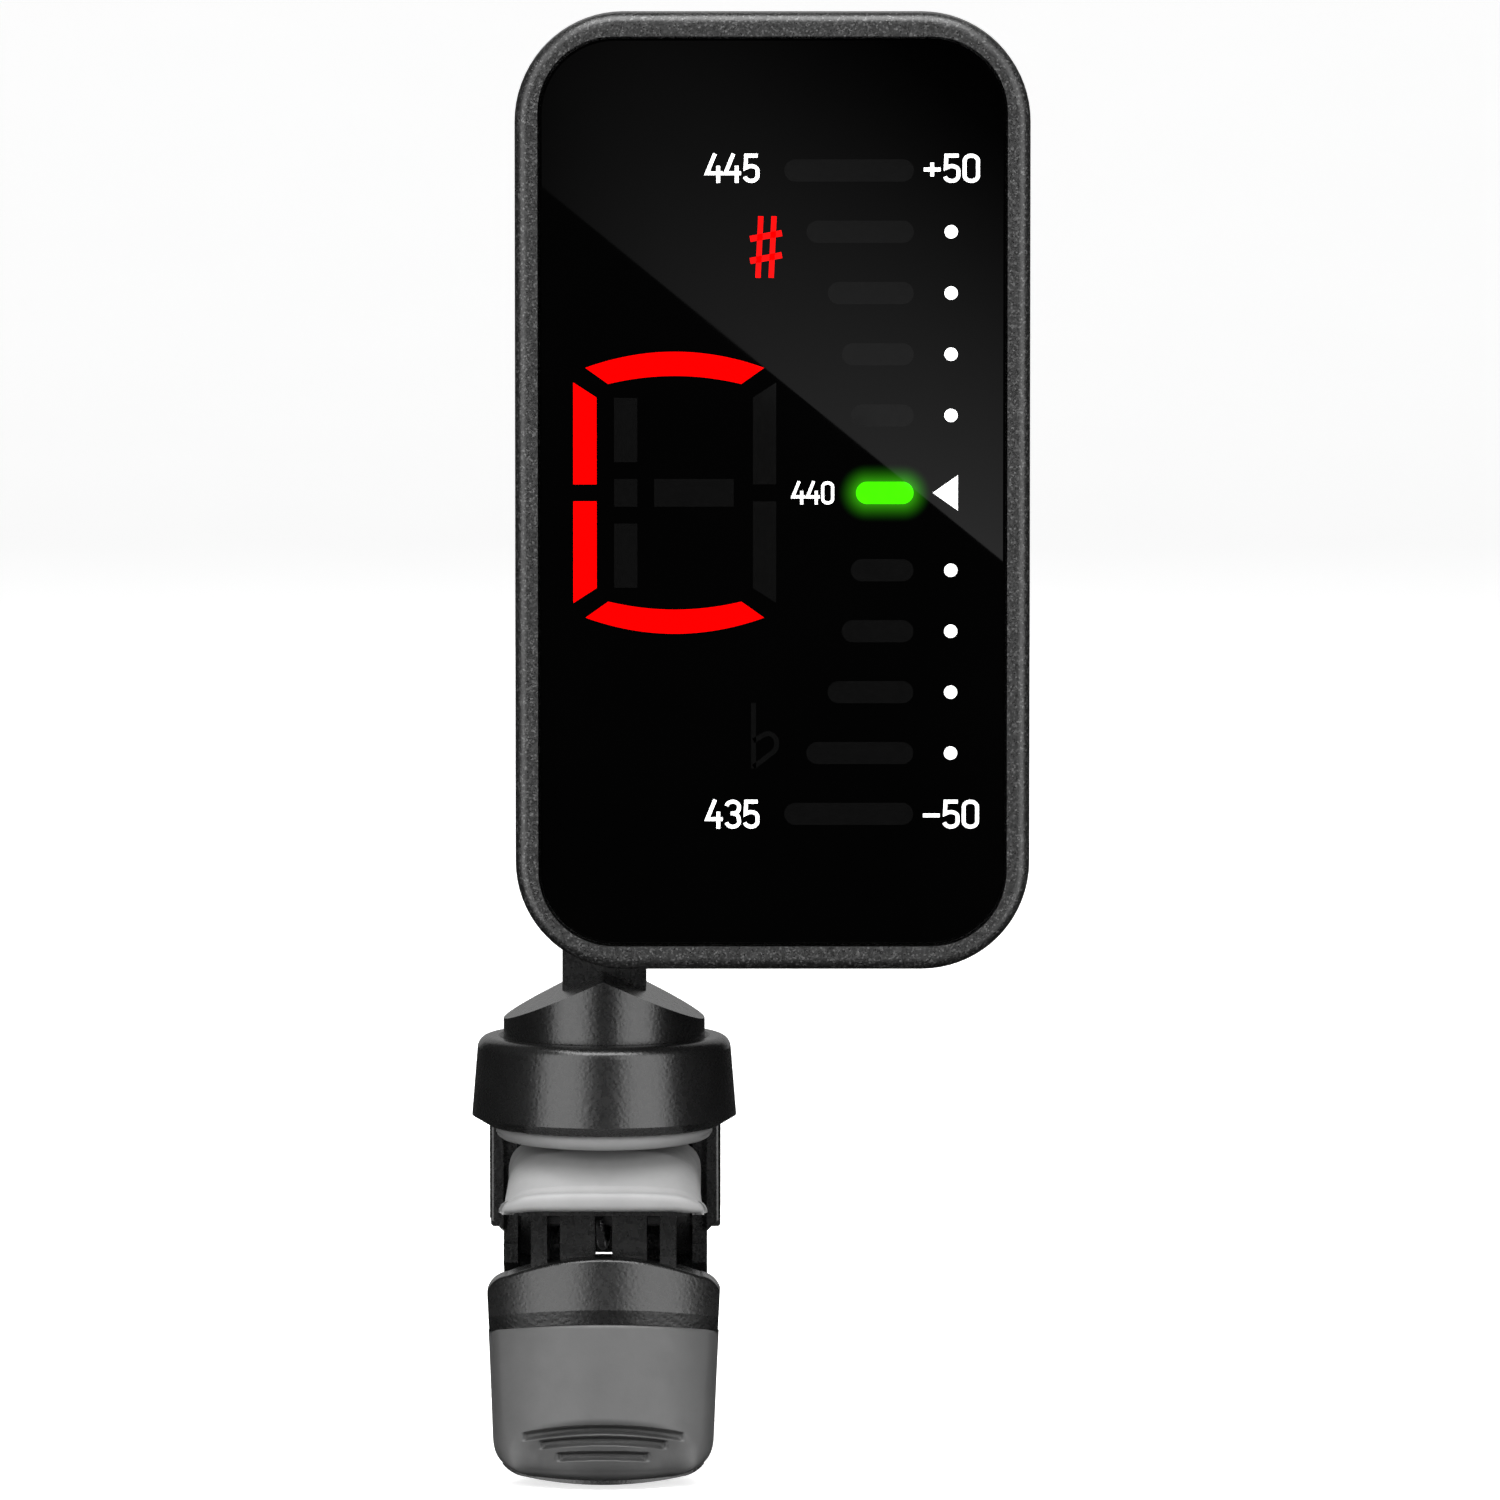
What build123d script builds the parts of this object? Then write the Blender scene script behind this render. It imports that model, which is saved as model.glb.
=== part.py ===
from build123d import *
import os
from math import cos, radians, sin, tan

# Clip-on tuner. A display head tilts on an arm, the arm swivels in the collar of a two-jaw clip,
# and the lower jaw opens against a torsion spring. Millimetres, +Z up, display facing -Y.
# The origin is where the swivel axis meets the plane in which the two jaw pads close.

# ---- fits ----
seat_fit = 0.02        # pieces that sit in one another and do not move
turn_fit = 0.05        # radial clearance of pins, screws and hubs that turn
stem_fit = 0.07        # radial clearance of the turret in its collar
slide_fit = 0.15       # around buttons and the battery cap
pad_gap = 0.10         # between the closed pads

# ---- display head ----
head_width = 35.2
head_height = 65.5
head_corner = 7.4
head_left = -5.94      # left edge of the head, from the swivel axis
head_bottom = 12.98
head_front = -11.2
bezel_depth = 4.0
cover_depth = 6.6
bezel_round = 0.80
side_rim = 1.71        # window edge, in from the side of the head
end_rim = 1.75         # window edge, in from the top and bottom
window_corner_step = 2.2
window_thick = 1.5
window_recess = 0.15   # window face, back from the bezel face
ledge_width = 1.45
ledge_corner_step = 0.4
ledge_thick = 1.2
guide_thick = 2.2
insert_thick = 0.8
board_thick = 1.0
cover_wall = 1.2
cover_draft = 6.0
cover_round = 2.0
cover_step = 0.15      # cover outline, in from the bezel outline

# ---- case screws ----
screw_side = 5.8       # screw, in from the side of the head
screw_end = 6.15       # screw, in from the top and bottom
screw_shank = 0.8
screw_head = 1.5
screw_head_thick = 0.9
screw_sink = 1.3
pillar_radius = 2.1
pillar_length = 2.6
boss_radius = 2.3

# ---- display layout, from the middle of the head ----
scale_inset = 6.26     # right end of the scale, in from the window edge
bar_height = 1.52
bar_first_share = 0.0855   # of the window height
bar_step_share = 0.0674
bar_lengths = (4.28, 4.90, 5.86, 7.31, 8.83)
centre_bar_length = 3.93
note_x_share = -0.2102     # of the window width
note_half_share = 0.2181
note_bar_width = 1.59
note_bar_top = 7.55
note_bar_slant = 1.03
note_gap = 0.58
note_arc_outer = 8.55
note_arc_rise = 1.10
note_arc_thick = 1.65
note_arc_step = 0.83       # ends of the arcs, in from the side bars
inner_bar_share = -0.4834  # of half the note width
inner_bar_top = 6.5
inner_bar_bottom = 2.1
middle_half = 0.95
middle_bar_share = 0.189
middle_length_share = 0.785
sign_left = 10.08      # sharp and flat, left of the right end of the scale
sign_z_share = 0.2694
sign_height = 4.2
sign_width = 2.1
sign_stroke = 0.42
sign_slant = 12

# ---- battery and controls, from the middle of the head ----
cell_radius = 10.0
cell_thick = 3.2
cell_z = 1.3
cell_gap = 0.5
contact_thick = 0.3
holder_wall = 0.8
cap_rim = 0.6
cap_rim_width = 0.9
cap_boss_step = 0.6    # boss of the cap, out from the cell
cap_boss_depth = 1.9
cap_lug_thick = 0.5
cap_lug_reach = 0.7
cap_lug_angle = 34
cap_turn = 45
coin_slot_length = 14.0
coin_slot_width = 1.6
coin_slot_depth = 0.45
button_x = 6.0
button_drop = 5.6      # buttons, below the upper case screws
button_length = 9.0
button_width = 5.0
button_proud = 0.6
button_flange = 0.7
button_travel = 0.5
switch_size = 4.0
switch_thick = 1.3
plunger_radius = 1.0
plunger_height = 0.5
piezo_radius = 6.0
piezo_thick = 0.4
chip_size = 7.0
chip_thick = 1.0
led_length = 1.2
led_width = 0.8
led_thick = 0.6

# ---- tilt hinge ----
hinge_rise = 14.02     # hinge, above the bottom of the head
post_width = 5.8
post_depth = 5.2
washer_thick = 0.21
lug_gap = 0.25
lug_thick = 1.9
lug_radius = 3.0
lug_root = 3.0         # how far the lugs run into the cover
tilt_shank = 1.0
tilt_head = 1.9
tilt_pocket = 1.0
nut_flats = 3.8

# ---- swivel turret ----
turret_radius = 6.98
turret_bottom = 4.4
eaves = 8.51
roof_peak = 11.69
roof_round = 0.25
swivel_shank = 1.5
swivel_thread = 5.0
swivel_head = 2.75
swivel_head_thick = 1.3
swivel_washer_thick = 0.3
swivel_recess = 3.2

# ---- fixed jaw ----
collar_top = 7.3
collar_wall = 1.74     # at the top, around the turret
collar_flare = 0.45
collar_round = 0.85
collar_wide = 1.8
collar_bottom = 1.1
collar_tuck = 1.17     # lower edge of the collar, in from its widest
collar_floor_bottom = 2.9
collar_floor_top = 4.3
bore_chamfer = 0.3
pad_step = 0.5         # upper pad, in from the lower edge of the collar
pad_round = 0.7
jaw_back = 4.2         # rear end of both pads
cheek_front = 4.5
cheek_half = 8.05
cheek_bottom = -7.0
cheek_step = 0.95      # frame below the cheeks, in from them
wall_thick = 1.0
mouth_step = 0.9       # step inside the front of the cheeks
edge_round = 0.3
cut_over = 1.0         # cuts run this far past the faces they open
web_thick = 1.2
web_bottom = -0.8
frame_back = 13.8
frame_shoulder = 6.0
back_wall = 1.2
handle_bottom = -22.6
handle_lean = 3.2
handle_thick = 2.0
handle_ridges = 4
ridge_pitch = 1.6
ridge_height = 0.35
ridge_half = 4.5
window_half = 2.5      # opening behind the spring
window_top = -9.5

# ---- pivot and spring ----
pivot_y = 9.0
pivot_z = -6.0
pin_radius = 1.2
hub_radius = 3.2
spring_coil = 2.5
spring_wire = 0.35
spring_turns = 3.25
spring_share = 0.55    # of the room between the ears
rear_leg = 3.2
front_leg = 4.0

# ---- moving jaw ----
pad_side = 0.8         # lower pad, out from the inside of the frame
pad_front = -9.5
pad_slope_start = -4.6
pad_lip_top = -2.84
pad_lip_bottom = -4.0
pad_tail = 1.0         # thickness taken off the underside at the rear
pad_crown = 1.4        # rounding of the pad's long upper edges
seat_step = 1.1        # pad seat, in from the sides of the pad
seat_front = -8.6
seat_top = -2.9
seat_bottom = -4.1
seat_slope = -1.9
seat_lip = 0.8
seat_drop = 0.2
ear_step = 1.1         # ears, in from the inside of the frame
ear_thick = 1.1
ear_root = -2.0
rib_step = 2.0         # ribs, in from the ears
slot_half = 0.6
rib_front = -6.0
rib_foot = -7.6        # lower front corner of the ribs, inside the shell
lever_lean = 17.0
lever_top = -7.40
lever_front = -7.6     # foremost point of the band's top edge
lever_bow = 12.5       # radius of the lever across its width
lever_length = 22.0
band_height = 3.6
band_thick = 2.6
band_round = 0.3
band_bevel = 0.9       # bevel under the band, down to the face of the grip
grip_thick = 1.1
grip_recess = 0.45
lever_draw_in = 0.55   # lower end of the lever, in from the band on each side
lever_bottom = -22.7
corner_width = 1.85
corner_height = 2.4
bottom_rise = 0.42
lever_arch = 1.4
lever_shoulder = 2.6

# ---- worked out from the sizes above ----
head_offset = head_left + head_width / 2
head_middle = head_bottom + head_height / 2
window_width = head_width - 2 * side_rim
window_height = head_height - 2 * end_rim
window_corner = head_corner - window_corner_step
ledge_corner = head_corner - ledge_corner_step
screw_x = head_width / 2 - screw_side
screw_z = head_height / 2 - screw_end
scale_right = window_width / 2 - scale_inset
bar_first = bar_first_share * window_height
bar_step = bar_step_share * window_height
note_x = note_x_share * window_width
note_half_width = note_half_share * window_width
note_arc_half = note_half_width - note_arc_step
note_arc_inner_half = note_arc_half - note_bar_width
inner_bar_x = inner_bar_share * note_half_width
middle_bar_x = middle_bar_share * note_half_width
middle_bar_length = middle_length_share * note_half_width
sign_x = scale_right - sign_left
sign_z = sign_z_share * window_height
button_z = screw_z - button_drop
cap_boss_radius = cell_radius + cap_boss_step
cap_radius = cap_boss_radius + cap_rim_width
holder_radius = cell_radius + cell_gap + holder_wall
chip_z = (cell_z - holder_radius - window_height / 2 + ledge_width) / 2
piezo_z = (cell_z - cap_radius - head_height / 2) / 2
parting = head_front + bezel_depth
head_back = parting + cover_depth
window_back = head_front + window_recess + window_thick
guide_back = window_back + guide_thick
board_back = guide_back + board_thick
cover_inside = head_back - cover_wall
ledge_back = window_back + ledge_thick
pillar_end = ledge_back + pillar_length + 1.0
hinge_y = post_depth / 2
hinge_z = head_bottom + hinge_rise
collar_bore = turret_radius + stem_fit
collar_top_radius = turret_radius + collar_wall
collar_radius = collar_top_radius + collar_flare
collar_bottom_radius = collar_radius - collar_tuck
upper_pad_radius = collar_bottom_radius - pad_step
wall_half = cheek_half - cheek_step
inside_half = wall_half - wall_thick
pad_half = inside_half + pad_side
seat_half = pad_half - seat_step
ear_half = inside_half - ear_step
rib_half = ear_half - rib_step
band_half = cheek_half
lever_half_low = band_half - lever_draw_in


def facing(y):
    """Plane across the head at depth y, seen from the front, centred on the head."""
    return Plane(origin=(head_offset, y, head_middle), x_dir=(1, 0, 0), z_dir=(0, -1, 0))


def backing(y):
    """Plane across the head at depth y, seen from behind: its X runs to the left."""
    return Plane(origin=(head_offset, y, head_middle), x_dir=(-1, 0, 0), z_dir=(0, 1, 0))


def save(piece, label):
    """Name a finished piece and write it to its own file."""
    piece.part.label = label
    export_step(piece.part, f"parts/{label}.step")
    return piece.part


os.makedirs("parts", exist_ok=True)

screw_places = GridLocations(2 * screw_x, 2 * screw_z, 2, 2)

# ================= display head =================

# Frame around the window: front ring, a ledge for the window, four blind screw pillars.
with BuildPart() as front_bezel:
    with BuildSketch(facing(parting)):
        RectangleRounded(head_width, head_height, head_corner)
    extrude(amount=bezel_depth)
    fillet(front_bezel.faces().sort_by(Axis.Y)[0].edges(), bezel_round)
    with BuildSketch(facing(window_back)):
        RectangleRounded(window_width + 2 * slide_fit, window_height + 2 * slide_fit, window_corner)
    extrude(amount=bezel_depth, mode=Mode.SUBTRACT)
    with BuildSketch(facing(parting)):
        RectangleRounded(window_width - 2 * ledge_width, window_height - 2 * ledge_width, ledge_corner)
    extrude(amount=bezel_depth, mode=Mode.SUBTRACT)
    with BuildSketch(facing(parting)):
        RectangleRounded(head_width - 2 * cover_wall, head_height - 2 * cover_wall,
                         head_corner - cover_wall)
    extrude(amount=parting - ledge_back, mode=Mode.SUBTRACT)
    with BuildSketch(facing(pillar_end)):
        with screw_places:
            Circle(pillar_radius)
    extrude(amount=pillar_end - window_back)
    with BuildSketch(facing(pillar_end)):
        with screw_places:
            Circle(screw_shank + seat_fit)
    extrude(amount=pillar_length, mode=Mode.SUBTRACT)
save(front_bezel, "front_bezel")

# Smoked window, dropped in from the front onto the ledge.
with BuildPart() as display_window:
    with BuildSketch(facing(window_back)):
        RectangleRounded(window_width, window_height, window_corner)
    extrude(amount=window_thick)
    chamfer(display_window.faces().sort_by(Axis.Y)[0].edges(), slide_fit)
save(display_window, "display_window")


def bar_rows():
    """Yield the middle X, middle Z and length of each pill of the cents scale."""
    yield scale_right - centre_bar_length / 2, 0, centre_bar_length
    for row, length in enumerate(bar_lengths):
        for side in (1, -1):
            yield scale_right - length / 2, side * (bar_first + row * bar_step), length


def draw_bars(grow):
    """Sketch the eleven pills, each outline moved out by grow."""
    for x, z, length in bar_rows():
        with Locations((x, z)):
            SlotOverall(length + 2 * grow, bar_height + 2 * grow)


def draw_note(grow):
    """Sketch the ten segments of the note letter, each outline moved out by grow."""
    outer = note_half_width + grow
    inner = note_half_width - note_bar_width - grow
    for side in (1, -1):
        for end in (1, -1):
            top_inner = end * (note_bar_top - note_bar_slant + grow)
            with Locations((note_x, 0)):
                Polygon((side * outer, end * (note_gap - grow)), (side * inner, end * (note_gap - grow)),
                        (side * inner, top_inner),
                        (side * outer, end * (note_bar_top + grow)), align=None)
    for end in (1, -1):
        low = note_arc_outer - note_arc_rise - grow
        high = note_arc_outer + grow
        with BuildLine() as arc_outline:
            top = ThreePointArc((note_x - note_arc_half - grow, end * high),
                                (note_x, end * (high + note_arc_rise)),
                                (note_x + note_arc_half + grow, end * high))
            base = ThreePointArc((note_x - note_arc_inner_half - grow, end * low),
                                 (note_x, end * (high + note_arc_rise - note_arc_thick - 2 * grow)),
                                 (note_x + note_arc_inner_half + grow, end * low))
            Line(top @ 0, base @ 0)
            Line(top @ 1, base @ 1)
        make_face(arc_outline.edges())
    inner_height = inner_bar_top - inner_bar_bottom
    inner_middle = (inner_bar_top + inner_bar_bottom) / 2
    for z, height in ((inner_middle, inner_height), (0, 2 * middle_half), (-inner_middle, inner_height)):
        with Locations((note_x + inner_bar_x, z)):
            Rectangle(note_bar_width + 2 * grow, height + 2 * grow)
    with Locations((note_x + middle_bar_x, 0)):
        Rectangle(middle_bar_length + 2 * grow, 2 * middle_half + 2 * grow)


def draw_signs(grow):
    """Sketch the sharp above and the flat below, each stroke widened by grow."""
    stroke = sign_stroke + 2 * grow
    bowl_width = sign_width / 2
    bowl_height = sign_height / 4
    with Locations((sign_x - sign_width / 4, sign_z), (sign_x + sign_width / 4, sign_z)):
        Rectangle(stroke, sign_height + 2 * grow)
    with Locations((sign_x, sign_z - sign_height / 6), (sign_x, sign_z + sign_height / 6)):
        Rectangle(sign_width + 2 * grow, stroke, rotation=sign_slant)
    with Locations((sign_x - sign_width / 4, -sign_z)):
        Rectangle(stroke, sign_height + 2 * grow)
    with Locations((sign_x + sign_stroke / 2, -sign_z - bowl_height)):
        Ellipse(bowl_width + grow, bowl_height + grow)
        Ellipse(bowl_width - sign_stroke - grow, bowl_height - sign_stroke - grow, mode=Mode.SUBTRACT)


# Black block behind the window with one well for each diffuser.
with BuildPart() as light_guide:
    with BuildSketch(facing(guide_back)):
        RectangleRounded(window_width - 2 * ledge_width - 2 * seat_fit,
                         window_height - 2 * ledge_width - 2 * seat_fit, ledge_corner)
        with screw_places:
            Circle(pillar_radius + slide_fit, mode=Mode.SUBTRACT)
    extrude(amount=guide_thick)
    with BuildSketch(facing(guide_back)):
        draw_bars(seat_fit)
        draw_note(seat_fit)
        with Locations((sign_x, sign_z), (sign_x, -sign_z)):
            Rectangle(sign_width + sign_stroke, sign_height + sign_stroke)
    extrude(amount=guide_thick, mode=Mode.SUBTRACT)
save(light_guide, "light_guide")

# Diffusers: pills of the scale, segments of the letter, sharp and flat.
for label, draw in (("tuning_bars", draw_bars), ("note_segments", draw_note), ("accidental_signs", draw_signs)):
    with BuildPart() as diffusers:
        with BuildSketch(facing(window_back + insert_thick)):
            draw(0)
        extrude(amount=insert_thick)
    save(diffusers, label)

# Board that closes the light guide, cut round the screw pillars.
with BuildPart() as circuit_board:
    with BuildSketch(facing(board_back)):
        RectangleRounded(window_width - 2 * ledge_width, window_height - 2 * ledge_width, ledge_corner)
        with screw_places:
            Circle(pillar_radius + slide_fit, mode=Mode.SUBTRACT)
    extrude(amount=board_thick)
save(circuit_board, "circuit_board")

# One light for each pill and each stroke, on the front of the board.
with BuildPart() as display_leds:
    with BuildSketch(facing(guide_back)):
        for x, z, length in bar_rows():
            with Locations((x, z)):
                Rectangle(led_length, led_width)
        note_side = note_half_width - note_bar_width / 2
        note_bar_middle = (note_bar_top + note_gap) / 2 - note_bar_slant / 4
        with Locations((note_x, 0)):
            with GridLocations(2 * note_side, 2 * note_bar_middle, 2, 2):
                Rectangle(led_width, led_length)
            with GridLocations(1, 2 * (note_arc_outer + note_arc_rise - note_arc_thick / 2), 1, 2):
                Rectangle(led_length, led_width)
            with Locations((inner_bar_x, 0), (middle_bar_x, 0)):
                Rectangle(led_length, led_width)
            with GridLocations(0, inner_bar_top + inner_bar_bottom, 1, 2):
                with Locations((inner_bar_x, 0)):
                    Rectangle(led_length, led_width)
        with Locations((sign_x, sign_z), (sign_x, -sign_z)):
            Rectangle(led_length, led_width)
    extrude(amount=led_thick)
save(display_leds, "display_leds")

with BuildPart() as tuner_chip:
    with BuildSketch(facing(board_back + chip_thick)):
        with Locations((0, chip_z)):
            Rectangle(chip_size, chip_size)
    extrude(amount=chip_thick)
    chamfer(tuner_chip.faces().sort_by(Axis.Y)[-1].edges(), slide_fit)
save(tuner_chip, "tuner_chip")

# Vibration disc, glued to the inside of the cover near the hinge.
with BuildPart() as piezo_pickup:
    with BuildSketch(facing(cover_inside)):
        with Locations((0, piezo_z)):
            Circle(piezo_radius)
    extrude(amount=piezo_thick)
    with BuildSketch(facing(cover_inside - piezo_thick)):
        with Locations((0, piezo_z)):
            Circle(piezo_radius * 2 / 3)
    extrude(amount=piezo_thick / 2)
save(piezo_pickup, "piezo_pickup")

# Two key switches on the back of the board, their plungers under the buttons.
with BuildPart() as button_switches:
    with BuildSketch(backing(board_back)):
        with Locations((-button_x, button_z), (button_x, button_z)):
            Rectangle(switch_size, switch_size)
    extrude(amount=switch_thick)
    with BuildSketch(backing(board_back + switch_thick)):
        with Locations((-button_x, button_z), (button_x, button_z)):
            Circle(plunger_radius)
    extrude(amount=plunger_height)
save(button_switches, "button_switches")

# ---- battery ----
cell_back = head_back - cap_boss_depth - slide_fit
cell_front = cell_back - cell_thick
holder_inside = cell_radius + cell_gap

with BuildPart() as coin_cell:
    with BuildSketch(backing(cell_front)):
        with Locations((0, cell_z)):
            Circle(cell_radius)
    extrude(amount=cell_thick)
    fillet(coin_cell.faces().sort_by(Axis.Y)[-1].edges(), cap_rim / 2)
save(coin_cell, "coin_cell")

# Moulded ring that stands on the board around the cell.
with BuildPart() as battery_holder:
    with BuildSketch(backing(board_back)):
        with Locations((0, cell_z)):
            Circle(holder_radius)
            Circle(holder_inside, mode=Mode.SUBTRACT)
    extrude(amount=cell_back - board_back)
save(battery_holder, "battery_holder")

# Spring strip against the rim of the cell.
with BuildPart() as positive_contact:
    with BuildSketch(backing(board_back)):
        with Locations((0, cell_z)):
            Circle(holder_inside - seat_fit)
            Circle(holder_inside - contact_thick, mode=Mode.SUBTRACT)
        with Locations((0, cell_z + cell_radius)):
            Rectangle(cell_radius, cell_radius, mode=Mode.INTERSECT)
    extrude(amount=cell_thick)
save(positive_contact, "positive_contact")

# Dished spring under the cell.
with BuildPart() as negative_contact:
    spring_rise = cell_front - board_back - contact_thick
    with BuildSketch(Plane(origin=(head_offset, board_back, head_middle + cell_z), x_dir=(1, 0, 0),
                           z_dir=(0, 0, 1))):
        Polygon((cell_radius / 2, 0), (cell_radius / 2, contact_thick),
                (cell_radius / 5, contact_thick + spring_rise),
                (cell_radius / 5, spring_rise), align=None)
    revolve(axis=Axis((head_offset, board_back, head_middle + cell_z), (0, 1, 0)))
save(negative_contact, "negative_contact")


def draw_cap_lugs(turned, grow):
    """Sketch the cap's boss with its two bayonet lugs, turned by an angle and moved out by grow."""
    reach = cap_boss_radius + cap_lug_reach + grow
    width = cap_boss_radius * tan(radians(cap_lug_angle)) + 2 * grow
    with Locations(Location((0, cell_z, 0), (0, 0, turned))):
        Rectangle(width, 2 * reach)
    with Locations((0, cell_z)):
        Circle(reach, mode=Mode.INTERSECT)
        Circle(cap_boss_radius + grow)


# Round cap: rim flush with the cover, boss through its flange, two bayonet lugs and a coin slot.
with BuildPart() as battery_cap:
    with BuildSketch(backing(head_back - cap_rim)):
        with Locations((0, cell_z)):
            Circle(cap_radius)
    extrude(amount=cap_rim)
    chamfer(battery_cap.faces().sort_by(Axis.Y)[-1].edges(), slide_fit)
    with BuildSketch(backing(head_back - cap_boss_depth)):
        with Locations((0, cell_z)):
            Circle(cap_boss_radius)
    extrude(amount=cap_boss_depth - cap_rim)
    with BuildSketch(backing(head_back - cap_boss_depth)):
        draw_cap_lugs(0, 0)
    extrude(amount=cap_lug_thick)
    with BuildSketch(backing(head_back - coin_slot_depth)):
        with Locations((0, cell_z)):
            SlotOverall(coin_slot_length, coin_slot_width)
    extrude(amount=cap_rim, mode=Mode.SUBTRACT)
save(battery_cap, "battery_cap")

# Back shell: drafted tray, screw bosses, cap bore with its flange, button holes, hinge lugs.
lug_inner = post_width / 2 + lug_gap
lug_outer = lug_inner + lug_thick
with BuildPart() as rear_cover:
    with BuildSketch(backing(parting)):
        RectangleRounded(head_width - 2 * cover_step, head_height - 2 * cover_step, head_corner - cover_step)
    extrude(amount=cover_depth, taper=cover_draft)
    fillet(rear_cover.faces().sort_by(Axis.Y)[-1].edges(), cover_round)
    for side in (lug_inner, -lug_outer):
        with BuildSketch(Plane.YZ.offset(side)):
            with Locations((hinge_y, hinge_z)):
                Circle(lug_radius)
            with Locations(((hinge_y + head_back - lug_root) / 2, hinge_z)):
                Rectangle(hinge_y - head_back + lug_root, 2 * lug_radius)
        extrude(amount=lug_thick)
    with BuildSketch(backing(parting)):
        RectangleRounded(head_width - 2 * cover_step - 2 * cover_wall, head_height - 2 * cover_step - 2 * cover_wall,
                         head_corner - cover_step - cover_wall)
    extrude(amount=cover_inside - parting, taper=cover_draft, mode=Mode.SUBTRACT)
    with BuildSketch(backing(pillar_end)):
        with screw_places:
            Circle(boss_radius)
    extrude(amount=cover_inside - pillar_end)
    with BuildSketch(backing(pillar_end)):
        with screw_places:
            Circle(screw_shank + slide_fit)
    extrude(amount=head_back - pillar_end, mode=Mode.SUBTRACT)
    with BuildSketch(backing(head_back - screw_sink)):
        with screw_places:
            Circle(screw_head + slide_fit)
    extrude(amount=screw_sink, mode=Mode.SUBTRACT)
    with BuildSketch(backing(head_back - cap_rim - slide_fit / 3)):
        with Locations((0, cell_z)):
            Circle(cap_radius + slide_fit)
    extrude(amount=cover_wall, mode=Mode.SUBTRACT)
    with BuildSketch(backing(cover_inside)):
        draw_cap_lugs(cap_turn, slide_fit)
    extrude(amount=cover_wall, mode=Mode.SUBTRACT)
    with BuildSketch(backing(cover_inside)):
        with Locations((-button_x, button_z), (button_x, button_z)):
            SlotOverall(button_length + 2 * slide_fit, button_width + 2 * slide_fit)
    extrude(amount=cover_wall, mode=Mode.SUBTRACT)
    with Locations(Location((0, hinge_y, hinge_z), (0, 90, 0))):
        Cylinder(tilt_shank + seat_fit, 2 * lug_outer, mode=Mode.SUBTRACT)
    with BuildSketch(Plane.YZ.offset(lug_outer - tilt_pocket)):
        with Locations((hinge_y, hinge_z)):
            Circle(tilt_head + seat_fit)
    extrude(amount=tilt_pocket, mode=Mode.SUBTRACT)
    with BuildSketch(Plane.YZ.offset(-lug_outer)):
        with Locations((hinge_y, hinge_z)):
            RegularPolygon(nut_flats / 2 + seat_fit, 6, major_radius=False)
    extrude(amount=tilt_pocket, mode=Mode.SUBTRACT)
save(rear_cover, "rear_cover")

# Pan screws with a cross recess, in from the back through the bosses.
with BuildPart() as case_screws:
    with BuildSketch(backing(head_back - screw_sink)):
        with screw_places:
            Circle(screw_head)
    extrude(amount=screw_head_thick)
    with BuildSketch(facing(head_back - screw_sink)):
        with screw_places:
            Circle(screw_shank)
    extrude(amount=head_back - screw_sink - pillar_end + pillar_length - slide_fit)
    with BuildSketch(backing(head_back - screw_sink + screw_head_thick / 3)):
        with screw_places:
            Rectangle(screw_head, screw_shank / 2)
            Rectangle(screw_shank / 2, screw_head)
    extrude(amount=screw_head_thick, mode=Mode.SUBTRACT)
save(case_screws, "case_screws")

# Two push buttons, each with a flange that holds it behind the cover and a stem for its switch.
for label, side in (("power_button", 1), ("pitch_button", -1)):
    flange_back = cover_inside - seat_fit * 4
    with BuildPart() as button:
        with BuildSketch(backing(flange_back)):
            with Locations((side * button_x, button_z)):
                SlotOverall(button_length, button_width)
        extrude(amount=head_back + button_proud - flange_back)
        fillet(button.faces().sort_by(Axis.Y)[-1].edges(), button_proud / 2)
        with BuildSketch(facing(flange_back)):
            with Locations((-side * button_x, button_z)):
                SlotOverall(button_length + 2 * button_flange, button_width + 2 * button_flange)
        extrude(amount=button_flange)
        with BuildSketch(facing(flange_back - button_flange)):
            with Locations((-side * button_x, button_z)):
                Circle(plunger_radius)
        stem_end = board_back + switch_thick + plunger_height + button_travel + slide_fit
        extrude(amount=flange_back - button_flange - stem_end)
    save(button, label)

# ---- tilt hinge hardware ----
with BuildPart() as tilt_screw:
    with BuildSketch(Plane.YZ.offset(-lug_outer)):
        with Locations((hinge_y, hinge_z)):
            Circle(tilt_shank)
    extrude(amount=2 * lug_outer - tilt_pocket)
    with BuildSketch(Plane.YZ.offset(lug_outer - tilt_pocket)):
        with Locations((hinge_y, hinge_z)):
            Circle(tilt_head)
            Rectangle(tilt_head, tilt_shank / 2, mode=Mode.SUBTRACT)
    extrude(amount=tilt_pocket)
    with BuildSketch(Plane.YZ.offset(lug_outer - tilt_pocket)):
        with Locations((hinge_y, hinge_z)):
            Rectangle(tilt_head, tilt_shank / 2)
    extrude(amount=tilt_pocket / 2)
save(tilt_screw, "tilt_screw")

with BuildPart() as tilt_nut:
    with BuildSketch(Plane.YZ.offset(-lug_outer)):
        with Locations((hinge_y, hinge_z)):
            RegularPolygon(nut_flats / 2, 6, major_radius=False)
            Circle(tilt_shank + seat_fit, mode=Mode.SUBTRACT)
    extrude(amount=tilt_pocket - seat_fit)
save(tilt_nut, "tilt_nut")

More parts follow.
